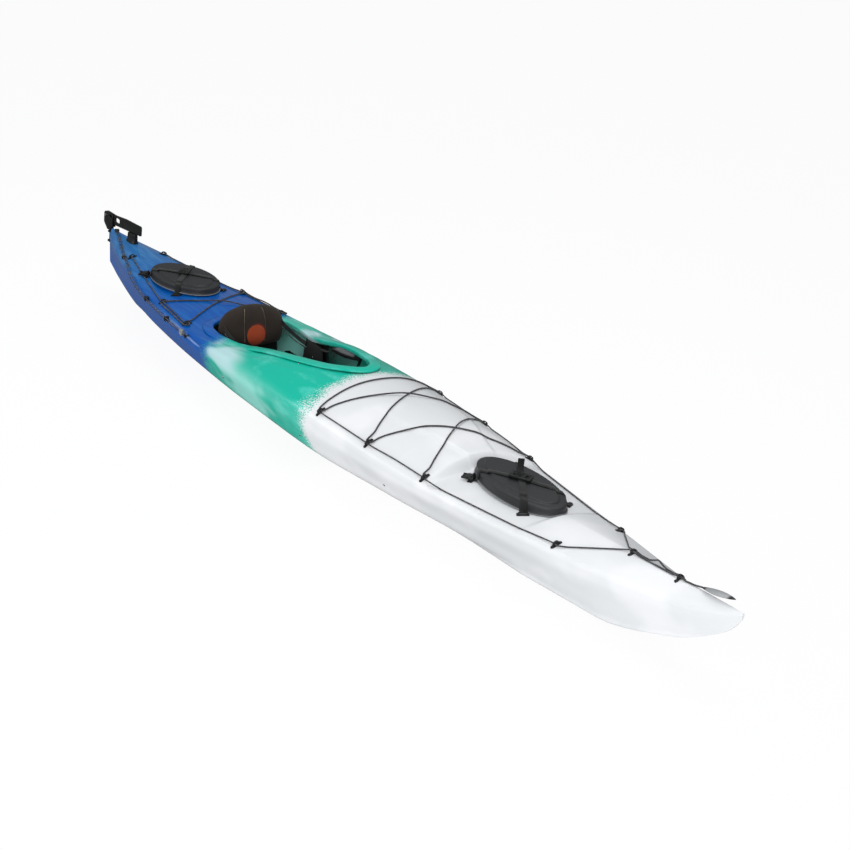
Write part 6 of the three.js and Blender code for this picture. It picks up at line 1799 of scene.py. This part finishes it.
def layHipStraps(side):
    trim, name = hipTrim, f"hip_strap_{sideName(side)}"
    low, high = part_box(name)
    y = (low.y + high.y) / 2
    route = []
    for t in (0, 0.25, 0.5, 0.75, 1):
        z = low.z + 0.003 + (high.z - low.z - 0.006) * t - trim["strapSag"] * math.sin(math.pi * t)
        route.append(Vector((low.x + (high.x - low.x) * t, y, z)))
    strap = bandAlong("hipStrap", catmull(route, 0.005), trim["strapWidth"], trim["strapThickness"], (0, 1, 0))
    settle(strap, "hull", "webbing", webbingWeave, name)
    # a thin cord from the hip pad's foot up to the brace
    padLow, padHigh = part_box(f"hip_pad_{sideName(side)}")
    inner = side * (min(abs(padLow.y), abs(padHigh.y)) - 0.002)
    cord = [
        (padHigh.x - 0.006, inner, padLow.z + 0.045), (padHigh.x + 0.03, inner, padLow.z + 0.058),
        (padHigh.x + 0.09, inner - side * 0.004, padLow.z + 0.094),
        (high.x - 0.002, inner - side * 0.010, high.z - 0.022),
    ]
    settle(tubeAlong("hipCord", catmull(cord, 0.005), trim["cord"], 10), "hull", "cord", cordBraid)
    # from behind the seat's back to the top of the hip pad: webbing and a cord below it
    seatSide = backFrame @ Vector((0.012, side * trim["seatAside"], 0.150))
    padTop = Vector((padLow.x + 0.030, inner, padHigh.z - 0.016))
    hanging = [seatSide.lerp(padTop, t) - Vector((0, 0, sag)) for t, sag in ((0.4, 0.008), (0.75, 0.006))]
    path = catmull([seatSide, *hanging, padTop], 0.005)
    webbing = bandAlong("seatSideStrap", path, trim["seatStrapWidth"], trim["strapThickness"], (0, 0, 1))
    dress(webbing, webbingWeave)
    lowSide = backFrame @ Vector((0.014, side * trim["seatAside"], 0.125))
    lowEnd = padTop - Vector((-0.004, 0, 0.018))
    path = catmull([lowSide, lowSide.lerp(lowEnd, 0.5) - Vector((0, 0, 0.010)), lowEnd], 0.005)
    thin = tubeAlong("seatSideCord", path, trim["cord"], 10)
    dress(thin, cordBraid)
    for piece, slotName, start, end in ((webbing, "webbing", seatSide, padTop), (thin, "cord", lowSide, lowEnd)):
        tuple(start.lerp(end, 0.12))
        tuple(start.lerp(end, 0.88))
        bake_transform(piece)


for side in (1, -1):
    buildHipPad(side)
    buildBrace(side)
    layHipStraps(side)
tab = roundBlock("seatTopTab", topTab["size"], topTab["place"], topTab["edge"])
tab.data.transform(backFrame)
settle(tab, "back_rest", "black_plastic", fittingNylon)
print("stage: hip pads and braces")

# Screws that hold the foot rails and the seat, their heads on the moulded skin, the same to port and starboard

hullScrews = [
    (-0.569, 0.247, 0.122), (0.051, 0.257, 0.109), (0.576, 0.221, 0.112), (-0.412, 0.196, 0.265),
    (-0.159, 0.158, 0.32), (0.463, 0.044, 0.341),
]
screwHead = {"radius": 0.0052, "sunk": 0.002, "proud": 0.0016, "edge": 0.0013}
heads = []
for x, y, z in hullScrews:
    for side in (1, -1):
        spot, normal, _, _ = shellTree.find_nearest(Vector((x, side * y, z)))
        if normal.dot(spot - Vector((spot.x, 0, hull["middleZ"]))) < 0:
            normal = -normal
        ends = spot - normal * screwHead["sunk"], spot + normal * screwHead["proud"]
        heads.append(roundBar("screwHead", *ends, screwHead["radius"], screwHead["edge"], 28))
settle(smoothBy(joinPieces("screwHeads", heads), 35), "hull", "steel", brightSteel)

# CAD nodes that stay, with better materials

looksBySlot = {
    "foam": bulkheadFoam, "black_plastic": fittingNylon, "grey_plastic": greyNylon, "webbing": webbingWeave,
    "steel": brightSteel, "cord": cordBraid,
}
blackSteel = plainMaterial("black coated steel", "#1a1b1c", 0.35, metallic=0.4)
ownLooks = {"thigh_brace_port": fittingNylon, "thigh_brace_starboard": fittingNylon, "rudder_pin": blackSteel}
for name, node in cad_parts.items():
    for materialSlot in node.material_slots:
        look = looksBySlot.get(materialSlot.material.name.split(".")[0])
        if look:
            materialSlot.material = ownLooks.get(name, look)
print("stage: fittings that stay")
